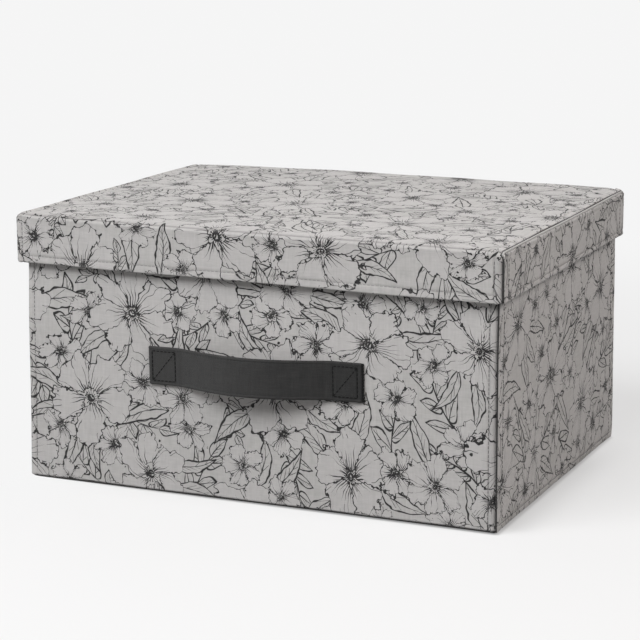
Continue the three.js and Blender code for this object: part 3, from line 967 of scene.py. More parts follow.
def carried_sheet(
    name, corners, radii, end, body, nodes, *, side="front", finish=None, slot="cover_fabric", seed=None,
    roll=0.0006, roll_of=None, roll_angle=ROLL_ANGLE, hem_half=None, hems=(None, None), rows_at=(), columns_at=(),
    step=0.0024, thickness=CLOTH, settle=None, swell=0.0002, puff=0.0003, pressed=0.0004, extra=0.0, trim=None,
    dent=None,
):
    """A sheet that is a profile in Y and Z carried along X, then turned to its wall. Along X it lies flat
    and then rolls inwards, to finish at end; the roll's radius may change from place to place. In a hem,
    outside the points hems of the profile, it is only hem_half wide. Creases press into it: rows_at are
    points of the profile with a width, a depth and perhaps a darkness of painted shade, and columns_at are
    places across, pressed deep, beside which the cloth puffs up as half a sine wave. A slow wave of the height
    swell runs all over it, and dent takes more away. On its left it reaches out by extra, and trim draws both
    ends in. Where it is loose, painted shade darkens its colour into its seam."""
    path, run, bends = track(corners, radii)
    rows = [(nearest_run(path, run, place), *size) for place, *size in rows_at]
    marks = [run[0], run[-1], *[row[0] for row in rows], *[q for a, b in bends for q in np.linspace(a, b, 4)]]
    v = stations(run[0], run[-1], step, marks, reach=0.0016)
    point, normal = along_track(path, run, v)
    fold = np.zeros(len(v))
    if hems[0] is not None:
        fold = np.maximum(fold, np.clip((nearest_run(path, run, hems[0]) - v) / 0.003, 0, 1))
    if hems[1] is not None:
        fold = np.maximum(fold, np.clip((v - nearest_run(path, run, hems[1])) / 0.003, 0, 1))
    fold = fold[:, None]
    widest = WIDE_ROLL if roll_of else roll
    reach = end + widest * (roll_angle - math.sin(roll_angle))
    turning = end - widest * math.sin(roll_angle)
    s = stations(-reach, reach, step, [-reach, -end, -turning, turning, end, reach, *columns_at], reach=0.0016)
    radius = roll_of(s[None, :], point.real[:, None], point.imag[:, None]) if roll_of else roll
    radius = radius * (1 - fold) + 0.0006 * fold
    flat = end - radius * math.sin(roll_angle)
    across, back_by = rolled(s[None, :] * (flat + radius * roll_angle) / reach, flat, radius)
    skin = 1 - fold
    lift = swell * np.sin(s[None, :] * 61 + (seed or 0)) * np.sin(v[:, None] * 47 + 2 * (seed or 0)) * skin
    for column in columns_at:
        between = np.clip((across * np.sign(column) - abs(column)) / (end - abs(column)), 0, 1)
        lift = lift + (groove(across - column, 0.0009, pressed) + puff * np.sin(np.pi * between)) * skin
    for row, wide, deep, *_ in rows:
        lift = lift + groove(v[:, None] - row, wide, deep)
    if dent is not None:
        lift = lift - dent(s[None, :], point.imag[:, None])
    lift = lift - back_by * (1 - 0.5 * fold)
    across = across * (1 + ((hem_half or end) / end - 1) * fold)
    across = across - extra * np.clip(-s[None, :] / reach, 0, 1) ** 4 * skin
    y = point.real[:, None] + normal.real[:, None] * lift
    z = point.imag[:, None] + normal.imag[:, None] * lift
    if trim is not None:
        across = across * (1 - trim(z) / end)
    grid = turned(np.stack([across, y, z], -1), TURN[side])
    near_end = np.exp(-(((reach - np.abs(s)) / 0.002) ** 2))[None, :]
    near_rim = np.exp(-((np.minimum(v - run[0], run[-1] - v) / 0.0015) ** 2))[:, None]
    on_bend = sum(np.exp(-(((v - (a + b) / 2) / 0.0025) ** 2)) for a, b in bends) if bends else v * 0
    edge = np.clip(near_end + near_rim + np.asarray(on_bend)[:, None], 0, 1)
    # painted shade, kept as edge values below 0: the loose roll darkens in colour where it sinks into its corner
    # seam, and rows given a darkness darken along them
    shade = 0.0
    if roll_of:
        shade = np.exp(-(((reach - s) / 0.0056) ** 2))[None, :] * np.clip((radius - TIGHT_ROLL) / 0.003, 0, 1)
    for row, wide, _, *dark in rows:
        shade = shade - groove(v[:, None] - row, wide, sum(dark))
    edge = edge * (1 - np.minimum(shade, 1)) - shade
    u_grid, v_grid = np.broadcast_arrays(s[None, :], v[:, None])
    return cloth_piece(
        name, grid, u_grid, v_grid, edge, finish or COVER, body, nodes, seed, thickness, settle=settle
    )


def tube(name, centres, radius, reference, finish, body, nodes=(), closed=False, settle=None, sides=14):
    """A round cord: circles of the given radius, which may change along it, stand square to its path.
    Each circle's first direction is reference less its share along the path."""
    if closed:
        ahead = np.roll(centres, -1, 0) - np.roll(centres, 1, 0)
    else:
        ahead = np.gradient(centres, axis=0)
    ahead /= np.linalg.norm(ahead, axis=1, keepdims=True)
    first = reference - ahead * (ahead @ reference)[:, None]
    first /= np.linalg.norm(first, axis=1, keepdims=True)
    second = np.cross(ahead, first)
    turn = np.linspace(0, 2 * math.pi, sides, endpoint=False)[:, None, None]
    radius = np.broadcast_to(radius, len(centres))[None, :, None]
    grid = centres[None] + radius * (np.cos(turn) * first[None] + np.sin(turn) * second[None])
    if closed:
        grid = np.concatenate([grid, grid[:, :1]], 1)
    rows, columns = grid.shape[:2]
    run = np.concatenate([[0], np.cumsum(np.linalg.norm(np.diff(grid[0], axis=0), axis=1))])
    quads = grid_quads(rows, columns, wrap=True, flip=True)
    round_about = float(radius.mean()) * 2 * math.pi / rows
    u, v = np.broadcast_arrays(run[None, :], (np.arange(rows) * round_about)[:, None])
    flat = np.stack([u.ravel(), v.ravel()], -1)
    maps = {"cloth": flat[quads]}
    caps = []
    if closed:
        last = quads % columns == columns - 1
        quads = np.where(last, quads - (columns - 1), quads)
        used, packed = np.unique(quads, return_inverse=True)
        points, quads = grid.reshape(-1, 3)[used], packed.reshape(-1, 4)
    else:
        points = grid.reshape(-1, 3)
        ring = np.arange(rows) * columns
        caps = [ring[::-1][None], (ring + columns - 1)[None]]
    return as_mesh(name, points, quads, maps, 0.0, finish, body, nodes, caps=caps, settle=settle)


def stitch_columns(side, lid=False):
    """Where the rows of stitches stand beside the corners of a wall, across it."""
    half = (LID_HALF if lid else BODY_HALF)[side][0]
    if side in ("right", "left"):
        return (-(half - 0.0125), half - 0.0125)
    return (-(half - 0.0055), half - 0.0072) if lid else (-(half - 0.006), half - 0.007)


def loose_end(s, *_):
    """The roll's radius on a wide wall, whatever the height: loose at its right-hand end, seen from
    outside, and tight at the other."""
    share = np.clip(s / 0.02, 0, 1)
    return TIGHT_ROLL + (WIDE_ROLL - TIGHT_ROLL) * share**2 * (3 - 2 * share)


def body_covers():
    """The four walls' covers: each rises from the base seam, turns over the top edge and hems inside."""
    for seed, side in enumerate(("front", "right", "back", "left"), start=1):
        half, out = BODY_HALF[side]
        inside = WALL - out
        wide = side in ("front", "back")
        tuck = 0.0010
        if wide:
            foot, rise, end, hem_half, rows_at = 0.0014, 0.0010, half - 0.0012, half - 0.0035, ()
            looks = dict(roll_of=loose_end, pressed=0.0005, extra=0.0006)
        else:
            foot, rise, end, hem_half = 0.0004, 0.0050, half - 0.0016, half - 0.0050
            rows_at = (((-out, BASE_ROW), 0.0011, 0.0006),)
            looks = dict(roll=TIGHT_ROLL, pressed=0.0003)
        corners = [
            (tuck - out, foot), (-out, foot + rise), (-out, BODY_TOP),
            (inside, BODY_TOP), (inside, BODY_TOP - BODY_HEM),
        ]
        carried_sheet(
            f"{side}_cover_cloth", corners, (0.0010, 0.0019, 0.0019), end, "box_body", [f"{side}_cover"],
            side=side, seed=seed, hem_half=hem_half, hems=(None, (0.002 - out, BODY_TOP)), rows_at=rows_at,
            columns_at=stitch_columns(side), settle=settle_body, **looks,
        )


def body_seams():
    """Dark cords in the valleys between the covers: one up each corner, deeper where the wide wall's
    cover is tight and drawn in at its top by 1.3 mm, and one round the base."""
    z = np.linspace(0.0012, BODY_TOP - 0.0006, 60)
    for name, x, y in (
        ("front_right", 1, -1), ("back_right", 1, 1), ("back_left", -1, 1), ("front_left", -1, -1),
    ):
        inset = 0.0013 * np.clip((z - 0.2112) / 0.001, 0, 1) ** 2 + (0.0006 if x * y < 0 else 0.0017)
        centres = np.stack([x * (BODY_X - inset), y * (BODY_Y - 0.0002 - inset), z], -1)
        tube(
            f"{name}_corner_cord", centres, 0.00065, np.array([x * 1.0, y * 1.0, 0.0]), SEAM,
            "box_body", [f"{name}_corner_seam"], settle=settle_body,
        )
    x, y, r = BODY_X - 0.0020, BODY_Y - 0.00115, 0.0015
    path, run, bends = track([(0, -y), (x, -y), (x, y), (-x, y), (-x, -y), (0, -y)], (r, r, r, r))
    at = stations(0, run[-1], 0.004, [q for a, b in bends for q in np.linspace(a, b, 4)], reach=0.0015)[:-1]
    point, _ = along_track(path, run, at)
    centres = np.stack([point.real, point.imag, np.full(len(at), 0.00095)], -1)
    tube(
        "base_seam_cord", centres, 0.00075, np.array([0.0, 0.0, 1.0]), SEAM, "box_body",
        [f"{side}_base_seam" for side in TURN], closed=True, settle=settle_body,
    )


def lid_covers():
    """The lid's cloth: one length over the front rim, the top and the back rim, hemmed up inside both, and
    an end cover on each side with its own hem."""
    half, out = LID_HALF["front"]
    inside, hem_top = WALL - out, LID_BOTTOM + LID_HEM
    rim_row = LID_BOTTOM + RIM_ROW

    def loose_on_rims(s, y, z):
        """As loose_end on the front and back rims, and tight on the top."""
        share = np.clip((LID_TOP - 0.002 - z) / 0.010, 0, 1)
        return TIGHT_ROLL + (loose_end(-s * np.sign(y)) - TIGHT_ROLL) * share**2 * (3 - 2 * share)

    def narrower_top(z):
        """The top ends 1.1 mm short of the rims."""
        return 0.0011 * np.clip((z - (LID_TOP - 0.0032)) / 0.0028, 0, 1)

    corners = [
        (inside, hem_top), (inside, LID_BOTTOM), (-out, LID_BOTTOM), (-out, LID_TOP),
        (out, LID_TOP), (out, LID_BOTTOM), (-inside, LID_BOTTOM), (-inside, hem_top),
    ]
    carried_sheet(
        "lid_cover_cloth", corners, (0.0011, 0.0011, 0.0019, 0.0018, 0.0011, 0.0011), half - 0.0013, "lid",
        ["lid_cover"], seed=5, hem_half=half - 0.0045,
        hems=((0.002 - out, LID_BOTTOM), (out - 0.002, LID_BOTTOM)),
        rows_at=(
            ((-out, rim_row), 0.0009, 0.0003), ((out, rim_row), 0.0009, 0.0003),
            # painted shade: in the crease 2.6 mm behind the front edge (1.7) and over the front bend (0.7)
            ((0.0026 - out, LID_TOP), 0.0012, 0.0007, 1.7), ((-out, LID_TOP), 0.0040, 0.0, 0.7),
        ),
        columns_at=stitch_columns("front", lid=True), roll_of=loose_on_rims, settle=settle_lid_cloth,
        step=0.0028, pressed=0.0007, extra=0.0007, trim=narrower_top,
    )
    for seed, side in ((6, "right"), (7, "left")):
        half, out = LID_HALF[side]
        inside = WALL - out
        corners = [
            (inside, hem_top), (inside, LID_BOTTOM), (-out, LID_BOTTOM),
            (-out, LID_TOP - 0.0031), (0.0014 - out, LID_TOP - 0.0015),
        ]
        carried_sheet(
            f"lid_{side}_cover_cloth", corners, (0.0009, 0.0009, 0.0009), half - 0.0016, "lid",
            [f"lid_{side}_cover"], side=side, seed=seed, hem_half=half - 0.0048,
            hems=((0.002 - out, LID_BOTTOM), None),
            rows_at=(
                ((-out, LID_BOTTOM + END_ROW), 0.0009, 0.0004), ((-out, LID_TOP - 0.0062), 0.0010, 0.00025),
            ),
            columns_at=stitch_columns(side, lid=True), roll=TIGHT_ROLL, settle=settle_lid_cloth, step=0.0020,
        )


def lid_seams():
    """The seams that join the end covers to the main cover: a dark cord up the front corner and down the
    back one, which is thinner along the end, where a rounded welt of the cover's cloth lies outside it.
    The welt's radius swells a little between its hidden stitches."""
    for side, sign in (("right", 1), ("left", -1)):
        sideways = np.array([sign * 1.0, 0.0, 0.0])
        y, low, high = LID_Y - 0.00170, LID_BOTTOM + 0.0010, LID_TOP - 0.0032
        path, run, bends = track([(-y, low), (-y, high), (y, high), (y, low)], (0.003, 0.003))
        at = stations(0, run[-1], 0.004, [q for a, b in bends for q in np.linspace(a, b, 5)], reach=0.002)
        point, _ = along_track(path, run, at)
        level_part = np.clip((point.imag - (high - 0.004)) / 0.004, 0, 1)
        on_loose_corner = point.real * sign < 0
        inset = np.where(on_loose_corner, 0.0006, 0.0018) * (1 - level_part) + 0.0022 * level_part
        centres = np.stack([sign * (LID_X - inset), point.real, point.imag + 0.0022 * level_part], -1)
        tube(
            f"lid_{side}_seam_cord", centres, 0.00085 - 0.00045 * level_part, sideways, SEAM,
            "lid", [f"lid_{side}_seam"], settle=settle_lid_cloth,
        )
        welt_end = 0.1541
        y = np.linspace(-welt_end, welt_end, 420)
        ease = np.clip((welt_end - np.abs(y)) / 0.004, 0, 1)
        ease = np.sqrt(1 - (1 - ease) ** 2)
        gathers = 0.00010 * np.sin(y * 2 * math.pi / 0.0034) * np.sin(y * 190 + 1)
        centres = np.stack([np.full_like(y, sign * 0.20365), y, LID_TOP - 0.0030 + 0.0015 * ease], -1)
        tube(
            f"lid_{side}_welt", centres, 0.0003 + 0.0005 * ease + gathers, sideways, WELT,
            "lid", settle=settle_lid_cloth, sides=18,
        )


def linings():
    """Plain linings, each a sheet that faces into the box or the lid, and the cloth under the base."""
    felt = dict(finish=LINING, slot="lining_fabric", roll_angle=0.3, step=0.006)
    for side in TURN:
        short = 0.0045 if side in ("front", "back") else 0.0049
        half, out = BODY_HALF[side]
        high, low = BODY_TOP - BODY_HEM - 0.0001, WALL + 0.0001
        carried_sheet(
            f"{side}_lining_felt", [(WALL - out, high), (WALL - out, low)], (),
            half - short, "box_body", [f"{side}_lining"], side=side, swell=0.00012, settle=settle_body, **felt,
        )
        half, out = LID_HALF[side]
        high, low = LID_TOP - WALL - 0.0002, LID_BOTTOM + LID_HEM + 0.0001
        carried_sheet(
            f"lid_{side}_lining_felt", [(WALL - out, high), (WALL - out, low)], (),
            half - short, "lid", [f"lid_{side}_lining"], side=side, swell=0.0001, settle=settle_lid, **felt,
        )
    carried_sheet(
        "bottom_lining_felt", [(-0.1458, WALL), (0.1458, WALL)], (), 0.1955, "box_body", ["bottom_lining"],
        swell=0.0001, settle=settle_body, **felt,
    )
    carried_sheet(
        "lid_top_lining_felt", [(0.1509, LID_TOP - WALL), (-0.1509, LID_TOP - WALL)], (), 0.2006, "lid",
        ["lid_top_lining"], swell=0.00015, settle=settle_lid, **felt,
    )
    carried_sheet(
        "bottom_cover_cloth", [(0.1483, 0.0001), (-0.1483, 0.0001)], (), 0.1975, "box_body", ["bottom_cover"],
        finish=BASE_CLOTH, roll=0.0016, roll_angle=0.9, step=0.006, swell=0.0, settle=settle_body,
    )


def strap_dent(s, z):
    """0.6 mm deep where one of the strap's backing patches lies, with straight walls 0.3 mm wide."""
    beside = np.clip((0.0182 - np.abs(np.abs(s) - PATCH_CENTRE)) / 0.0003, 0, 1)
    level_with = np.clip((0.0210 - np.abs(z - PATCH_HEIGHT)) / 0.0003, 0, 1)
    return 0.0006 * beside * level_with


def boards():
    """The boards, each a stiff sheet 2.3 mm thick in its pocket; the front one is pressed in where the
    strap's backing patches lie."""
    stiff = dict(finish=BOARD, slot="board", thickness=BOARD_THICKNESS, swell=0.0)
    for side in TURN:
        half, out = BODY_HALF[side]
        low, high = 0.0021 if side in ("front", "back") else 0.0040, BODY_TOP - BOARD_DEPTH - 0.0003
        close = dict(step=0.002, dent=strap_dent) if side == "front" else dict(step=0.008)
        carried_sheet(
            f"{side}_stiff_board", [(BOARD_DEPTH - out, low), (BOARD_DEPTH - out, high)], (), half - 0.0046,
            "box_body", [f"{side}_board"], side=side, roll_angle=0.6, settle=settle_body, **close, **stiff,
        )
        half, out = LID_HALF[side]
        low, high = LID_BOTTOM + BOARD_DEPTH, LID_TOP - WALL - 0.0001
        carried_sheet(
            f"lid_{side}_stiff_board", [(BOARD_DEPTH - out, low), (BOARD_DEPTH - out, high)], (), half - 0.0046,
            "lid", [f"lid_{side}_board"], side=side, roll_angle=0.6, step=0.008, settle=settle_lid, **stiff,
        )
    carried_sheet(
        "bottom_stiff_board", [(-0.1458, 0.00315), (0.1458, 0.00315)], (), 0.1955, "box_body",
        ["bottom_board"], roll_angle=0.6, step=0.008, settle=settle_body, **stiff,
    )
    high = LID_TOP - BOARD_DEPTH
    carried_sheet(
        "lid_top_stiff_board", [(-0.1470, high), (0.1508, high)], (), 0.2018, "lid", ["lid_top_board"],
        roll=0.0008, roll_angle=0.9, step=0.008, settle=settle_lid, **stiff,
    )


def backing_patches():
    """The flat squares of cloth behind the cover that the strap's ends are sewn through."""
    for side, sign in (("left", -1), ("right", 1)):
        centre = sign * PATCH_CENTRE
        x = np.linspace(centre - 0.0174, centre + 0.0174, 24)
        z = np.linspace(PATCH_HEIGHT - 0.0203, PATCH_HEIGHT + 0.0203, 26)
        grid = np.stack(np.broadcast_arrays(x[None, :], -0.1491, z[:, None]), -1)
        u, v = np.broadcast_arrays(x[None, :], z[:, None])
        cloth_piece(
            f"handle_{side}_backing_cloth", grid, u, v, 0.0, BASE_CLOTH, "box_body",
            [f"handle_{side}_backing"], thickness=0.0004, settle=settle_body,
        )


def base_insert():
    """The loose base: a board in a sleeve that is one sheet folded round it, sewn down both sides and
    open at the back."""
    half, out = 0.195, 0.1443
    low, high = 0.0043, 0.0083
    carried_sheet(
        "insert_sleeve_felt", [(out, low), (-out, low), (-out, high), (out, high)], (0.0018, 0.0018),
        half - 0.0003, "base_insert", ["insert_sleeve"], finish=LINING, slot="lining_fabric", roll=0.0018,
        roll_angle=1.4, columns_at=(half - 0.006,), step=0.006, thickness=0.0007, swell=0.0,
    )
    carried_sheet(
        "insert_stiff_board", [(-out + 0.0012, high - BOARD_DEPTH), (out - 0.0004, high - BOARD_DEPTH)], (),
        half - 0.0085, "base_insert", ["insert_board"], finish=BOARD, slot="board", roll_angle=0.6,
        step=0.008, thickness=BOARD_THICKNESS, swell=0.0,
    )


STRAP_SHIFT = 0.0015  # how far the strap is sewn on to the right of the middle
STRAP_LEAN = math.radians(0.8)
STRAP_HEIGHT = 0.1056
STRAP_HALF = 0.091
TAB = 0.026  # how long each sewn end is
STRAP_WIDTH = 0.0308
STRAP_THICKNESS = 0.002
FOLD = 0.0006  # how much thicker the folded, sewn ends are
BOW = 0.0147  # how far the middle stands out
BOX_NEAR, BOX_FAR, BOX_HIGH = 0.0036, 0.0236, STRAP_WIDTH / 2 - 0.0036  # the box of stitches on a sewn end


def leaning(points):
    """Turns the strap about its middle in the plane of the wall, and moves it sideways."""
    c, s = math.cos(STRAP_LEAN), math.sin(STRAP_LEAN)
    x, z = points[..., 0], points[..., 2] - STRAP_HEIGHT
    return np.stack([x * c - z * s + STRAP_SHIFT, points[..., 1], x * s + z * c + STRAP_HEIGHT], -1)


def bow_of(x):
    """How far the strap stands out: half a cosine wave between the sewn ends, softened by a bell 4.2 mm
    wide where it leaves them, as a share of its middle."""
    dense = np.linspace(-0.1, 0.1, 2001)
    free = STRAP_HALF - TAB
    wave = np.where(np.abs(dense) < free, np.cos(math.pi * dense / (2 * free)), 0.0)
    window = np.exp(-((np.arange(-120, 121) * 0.0001 / 0.0042) ** 2))
    soft = np.convolve(wave, window / window.sum(), mode="same")
    return np.interp(x, dense, soft / soft.max())


def strap_halves():
    """The strap, as two halves that meet in its middle. Its section is a flat band with round edges, hem
    grooves 2.6 mm from them with a dimple for each stitch, and it is carried along the bow, which is
    less deep towards the strap's upper edge. w and t are the section's places up and out of the wall."""
    bulge = 0.0009  # how far the round edges stand past the flat band
    seam_width = 0.0006
    groove_at = STRAP_WIDTH / 2 - 0.0026
    flat = STRAP_WIDTH / 2 - bulge
    outer = stations(-flat, flat, 0.0016, [-groove_at, groove_at], fine=0.00025, reach=0.0009)
    inner = np.linspace(flat, -flat, 16)
    arc = np.linspace(0, math.pi, 9)[1:-1]
    middle = STRAP_THICKNESS / 2
    w = np.concatenate([outer, flat + bulge * np.sin(arc), inner, -flat - bulge * np.sin(arc)])
    t = np.concatenate([
        np.full(len(outer), 2 * middle), middle + middle * np.cos(arc),
        np.zeros(len(inner)), middle - middle * np.cos(arc),
    ])
    on_face = (np.arange(len(w)) < len(outer))[:, None]
    loop = np.concatenate([[0], np.cumsum(np.hypot(np.diff(w), np.diff(t)))])
    for side, sign in (("left", -1), ("right", 1)):
        at_seams = [-STRAP_HALF, BOX_NEAR - STRAP_HALF, BOX_FAR - STRAP_HALF]
        x = stations(-STRAP_HALF, 0.0, 0.0008, at_seams, fine=0.00018, reach=0.0012)
        x = x if sign < 0 else -x[::-1]
        bow = bow_of(x)
        slope = np.gradient(bow * BOW, x)
        steep = np.hypot(1, slope)
        run = np.concatenate([[0], np.cumsum(np.hypot(np.diff(x), np.diff(bow * BOW)))])
        free = np.clip((STRAP_HALF - TAB - np.abs(x)) / 0.004, 0, 1)[None, :]
        folded = FOLD * (1 - free * free * (3 - 2 * free))
        stitch = 0.55 + 0.45 * np.cos(2 * math.pi * run / 0.003)
        press = np.exp(-(((np.abs(w) - groove_at) / 0.0005) ** 2))[:, None] * (0.00045 * stitch)[None, :]
        hem = 0.00022 / (1 + np.exp(-(np.abs(w) - groove_at) / 0.00025))[:, None]
        ripple = 0.00018 * np.sin(x * 120 + 1)[None, :] * np.sin(w * 260)[:, None] * free
        from_end = STRAP_HALF - np.abs(x)
        seam = sum(np.exp(-(((from_end - place) / seam_width) ** 2)) for place in (BOX_FAR, BOX_NEAR))
        in_box = np.clip((BOX_HIGH + seam_width - np.abs(w)) / seam_width, 0, 1)[:, None]
        seam = 0.0004 * seam[None, :] * in_box
        out = t[:, None] * (1 + folded / STRAP_THICKNESS) + on_face * (hem - press + ripple - seam)
        rounded = np.sqrt(1 - (1 - np.clip(from_end / 0.0015, 0, 1)) ** 2)[None, :]
        out = middle + (out - middle) * (0.25 + 0.75 * rounded)
        tall = w[:, None] * (1 - 0.012 * (1 - rounded)) * (1 - 0.012 * bow[None, :])
        depth = BOW - 0.0016 * (w / 0.015)[:, None]
        twist = 0.00005 + bow[None, :] * depth
        grid = np.stack([
            x[None, :] + (slope / steep)[None, :] * (out - middle),
            -BODY_Y - twist - middle - (out - middle) / steep[None, :],
            STRAP_HEIGHT + tall,
        ], -1)
        grid = leaning(grid)
        rows, columns = grid.shape[:2]
        quads = grid_quads(rows, columns, wrap=True)
        u, v = np.broadcast_arrays(run[None, :] + (0.2 if sign > 0 else 0.0), loop[:, None])
        flat_uv = np.stack([u.ravel(), v.ravel()], -1)
        # the edge value: paler near the long edges, from wear and a painted highlight, and at the ends from wear
        near_edge = np.exp(-(((STRAP_WIDTH / 2 - np.abs(w)) / 0.0009) ** 2))[:, None]
        worn = np.clip(near_edge + (1 - rounded) * 0.7, 0, 1)
        ring = np.arange(rows) * columns
        crisp = np.zeros(rows * columns, bool)
        joint = ring + (columns - 1 if sign < 0 else 0)
        crisp[joint] = True
        strap = as_mesh(
            f"strap_{side}_half", grid.reshape(-1, 3), quads, {"cloth": flat_uv[quads]}, worn.ravel(), STRAP,
            None, [f"handle_{side}_tab", "handle_grip"],
            caps=[ring[None], (ring + columns - 1)[::-1][None]], sharp=crisp,
        )
        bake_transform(strap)


def stitches(
    name, rows, finish, body, nodes=(), length=0.0026, pitch=0.0034, radius=0.00022, settle=None, place=None
):
    """Rows of stitches: each is a thread that dives into the cloth at both ends, five rings of six points
    round a line that arches as one less the square of the place along it. A row is its start, its end
    and the outward normal of its face."""
    sides = 6
    ring_at = np.array([-0.5, -0.36, 0.0, 0.36, 0.5])
    thick = np.array([0.45, 0.95, 1.0, 0.95, 0.45])
    turn = np.arange(sides) * math.pi / 3
    arch = np.repeat(0.00012 * (1 - (2 * ring_at) ** 2), sides) * 1.6
    template = np.stack([
        np.repeat(ring_at * length, sides),
        (thick[:, None] * np.cos(turn)[None]).ravel() * radius,
        (thick[:, None] * np.sin(turn)[None]).ravel() * radius + arch,
    ], -1)
    each = len(template)  # how many points a stitch has
    ring, j = np.arange(len(ring_at) - 1)[:, None] * sides, np.arange(sides)[None, :]
    beyond = (j + 1) % sides
    one = np.stack([ring + j, ring + beyond, ring + sides + beyond, ring + sides + j], -1).reshape(-1, 4)
    points = []
    for start, end, normal in rows:
        start, end, normal = (np.array(q, float) for q in (start, end, normal))
        reach = np.linalg.norm(end - start)
        ahead = (end - start) / reach
        count = max(int(reach / pitch), 1)
        centres = start + (end - start) * ((np.arange(count) + 0.5) / count)[:, None]
        frame_axes = np.stack([ahead, np.cross(normal, ahead), normal])
        points.append((template @ frame_axes)[None] + centres[:, None])
    points = np.concatenate(points)
    count = len(points)
    offset = (np.arange(count) * each)[:, None, None]
    all_quads = (one[None] + offset).reshape(-1, 4)
    low = (np.arange(sides)[None, None] + offset).reshape(-1, sides)
    high = (np.arange(each - sides, each)[::-1][None, None] + offset).reshape(-1, sides)
    local = np.stack([np.repeat(ring_at * length, sides), np.tile(turn * radius, len(ring_at))], -1)
    maps = {"cloth": np.tile(local[one], (count, 1, 1))}
    points = points.reshape(-1, 3)
    if place is not None:
        points = place(points)
    return as_mesh(
        name, points, all_quads[:, ::-1], maps, 0.0, finish, body, nodes, caps=[low, high], settle=settle
    )


def wall_row(side, depth, low, high=None, x=None, half_x=None):
    """A stitch row's ends on a wall: upright at x, or level along it at low."""
    if x is None:
        ends = (-half_x, depth, low), (half_x, depth, low)
    else:
        ends = (x, depth, low), (x, depth, high)
    return [turned(np.array(q), TURN[side]) for q in (*ends, (0.0, -1.0, 0.0))]


def all_stitches():
    """The rows of stitches: up the walls beside the corners, above the base on the sides, along the lid's
    hem and beside its corners, the box with a diagonal on each end of the strap, and a row of thick dark
    stitches standing on the strap's right end."""
    sunk = 0.00022  # how far a row's line lies inside the wall's face
    hem_rows = []
    for label, halves, body, settle in (
        ("body", BODY_HALF, "box_body", settle_body), ("lid", LID_HALF, "lid", settle_lid_cloth),
    ):
        rows = []
        for side in TURN:
            half, out = halves[side]
            wide = side in ("front", "back")
            if label == "body":
                hem, low, high = None if wide else BASE_ROW, 0.007, BODY_TOP - 0.003
            else:
                hem = LID_BOTTOM + (RIM_ROW if wide else END_ROW)
                low, high = hem + 0.002, LID_TOP - 0.0065
            for column in stitch_columns(side, lid=label == "lid"):
                rows.append(wall_row(side, sunk - out, low, high, x=column))
            if hem:
                chosen = hem_rows if label == "lid" else rows
                chosen.append(wall_row(side, sunk - out, hem, half_x=half - 0.0050))
        stitches(f"{label}_stitches", rows, GREY_THREAD, body, settle=settle)
    stitches("lid_hem_stitches", hem_rows, PALE_THREAD, "lid", settle=settle_lid_cloth)
    near, far, high = BOX_NEAR, BOX_FAR, BOX_HIGH
    depth = -BODY_Y - STRAP_THICKNESS - FOLD
    for side, sign in (("left", -1), ("right", 1)):
        low_x, high_x = sorted((sign * (STRAP_HALF - near), sign * (STRAP_HALF - far)))
        corner = {
            (i, j): (x, depth, STRAP_HEIGHT + j * high) for i, x in ((-1, low_x), (1, high_x)) for j in (-1, 1)
        }
        turns = ((-1, -1), (1, -1), (1, 1), (-1, 1), (-1, -1), (1, 1))
        rows = [(corner[a], corner[b], (0.0, -1.0, 0.0)) for a, b in zip(turns[:-1], turns[1:])]
        stitches(
            f"handle_{side}_stitches", rows, DARK_THREAD, "box_body", [f"handle_{side}_stitching"],
            length=0.0026, pitch=0.0031, radius=0.00036, place=leaning,
        )
    edge_x, edge_y, tall = STRAP_HALF + 0.0002, -BODY_Y - 0.0013, STRAP_WIDTH / 2 - 0.0004
    foot, top = (edge_x, edge_y, STRAP_HEIGHT - tall), (edge_x, edge_y, STRAP_HEIGHT + tall)
    stitches(
        "handle_end_stitches", [(foot, top, (1.0, 0.0, 0.0))], DARK_THREAD, "box_body",
        length=0.0027, pitch=0.0023, radius=0.00115, place=leaning,
    )


body_covers()
body_seams()
lid_covers()
lid_seams()
linings()
boards()
backing_patches()
base_insert()
strap_halves()
all_stitches()

# ---------------------------------------------------------------- floor and light
PALE = (0.915, 0.915, 0.915)
FLOOR_RADIUS, FLOOR_RINGS, FLOOR_SPOKES = 14, 40, 96
FLOOR_GLOW, PAINTED_SHADOW_BESIDE, PAINTED_SHADOW_UNDER = 0.552, 0.13, 0.17  # the floor's glow, and the painted shadow that lowers it beside the box's right wall and at its foot
WORLD_LIGHT = 0.17
AIM_HEIGHT = 0.1  # the height of the place that the lamps face

ring_sizes = np.linspace(0, 1, FLOOR_RINGS) ** 2 * FLOOR_RADIUS
spoke_angles = np.linspace(0, 2 * math.pi, FLOOR_SPOKES + 1)[:-1]
floor_mesh = bpy.data.meshes.new("floor")
ring_x, ring_y = np.outer(ring_sizes, np.cos(spoke_angles)), np.outer(ring_sizes, np.sin(spoke_angles))
floor_points = np.stack([ring_x, ring_y, np.full_like(ring_x, -0.0002)], -1).reshape(-1, 3)
ring, spoke = np.meshgrid(np.arange(FLOOR_RINGS - 1) * FLOOR_SPOKES, np.arange(FLOOR_SPOKES), indexing="ij")
wider, beyond = ring + FLOOR_SPOKES, (spoke + 1) % FLOOR_SPOKES
floor_faces = np.stack([ring + spoke, wider + spoke, wider + beyond, ring + beyond], -1).reshape(-1, 4)
floor_mesh.from_pydata(floor_points, [], floor_faces)
floor = bpy.data.objects.new("floor", floor_mesh)
bpy.context.scene.collection.objects.link(floor)


def seen(tree):
    """1 for what the camera sees, straight, mirrored or through glass."""
    paths = tree.nodes.new("ShaderNodeLightPath").outputs
    straight, mirrored, through = (
        Flow(tree, paths[f"Is {kind} Ray"]) for kind in ("Camera", "Glossy", "Transmission")
    )
    return straight.most(mirrored).most(through)


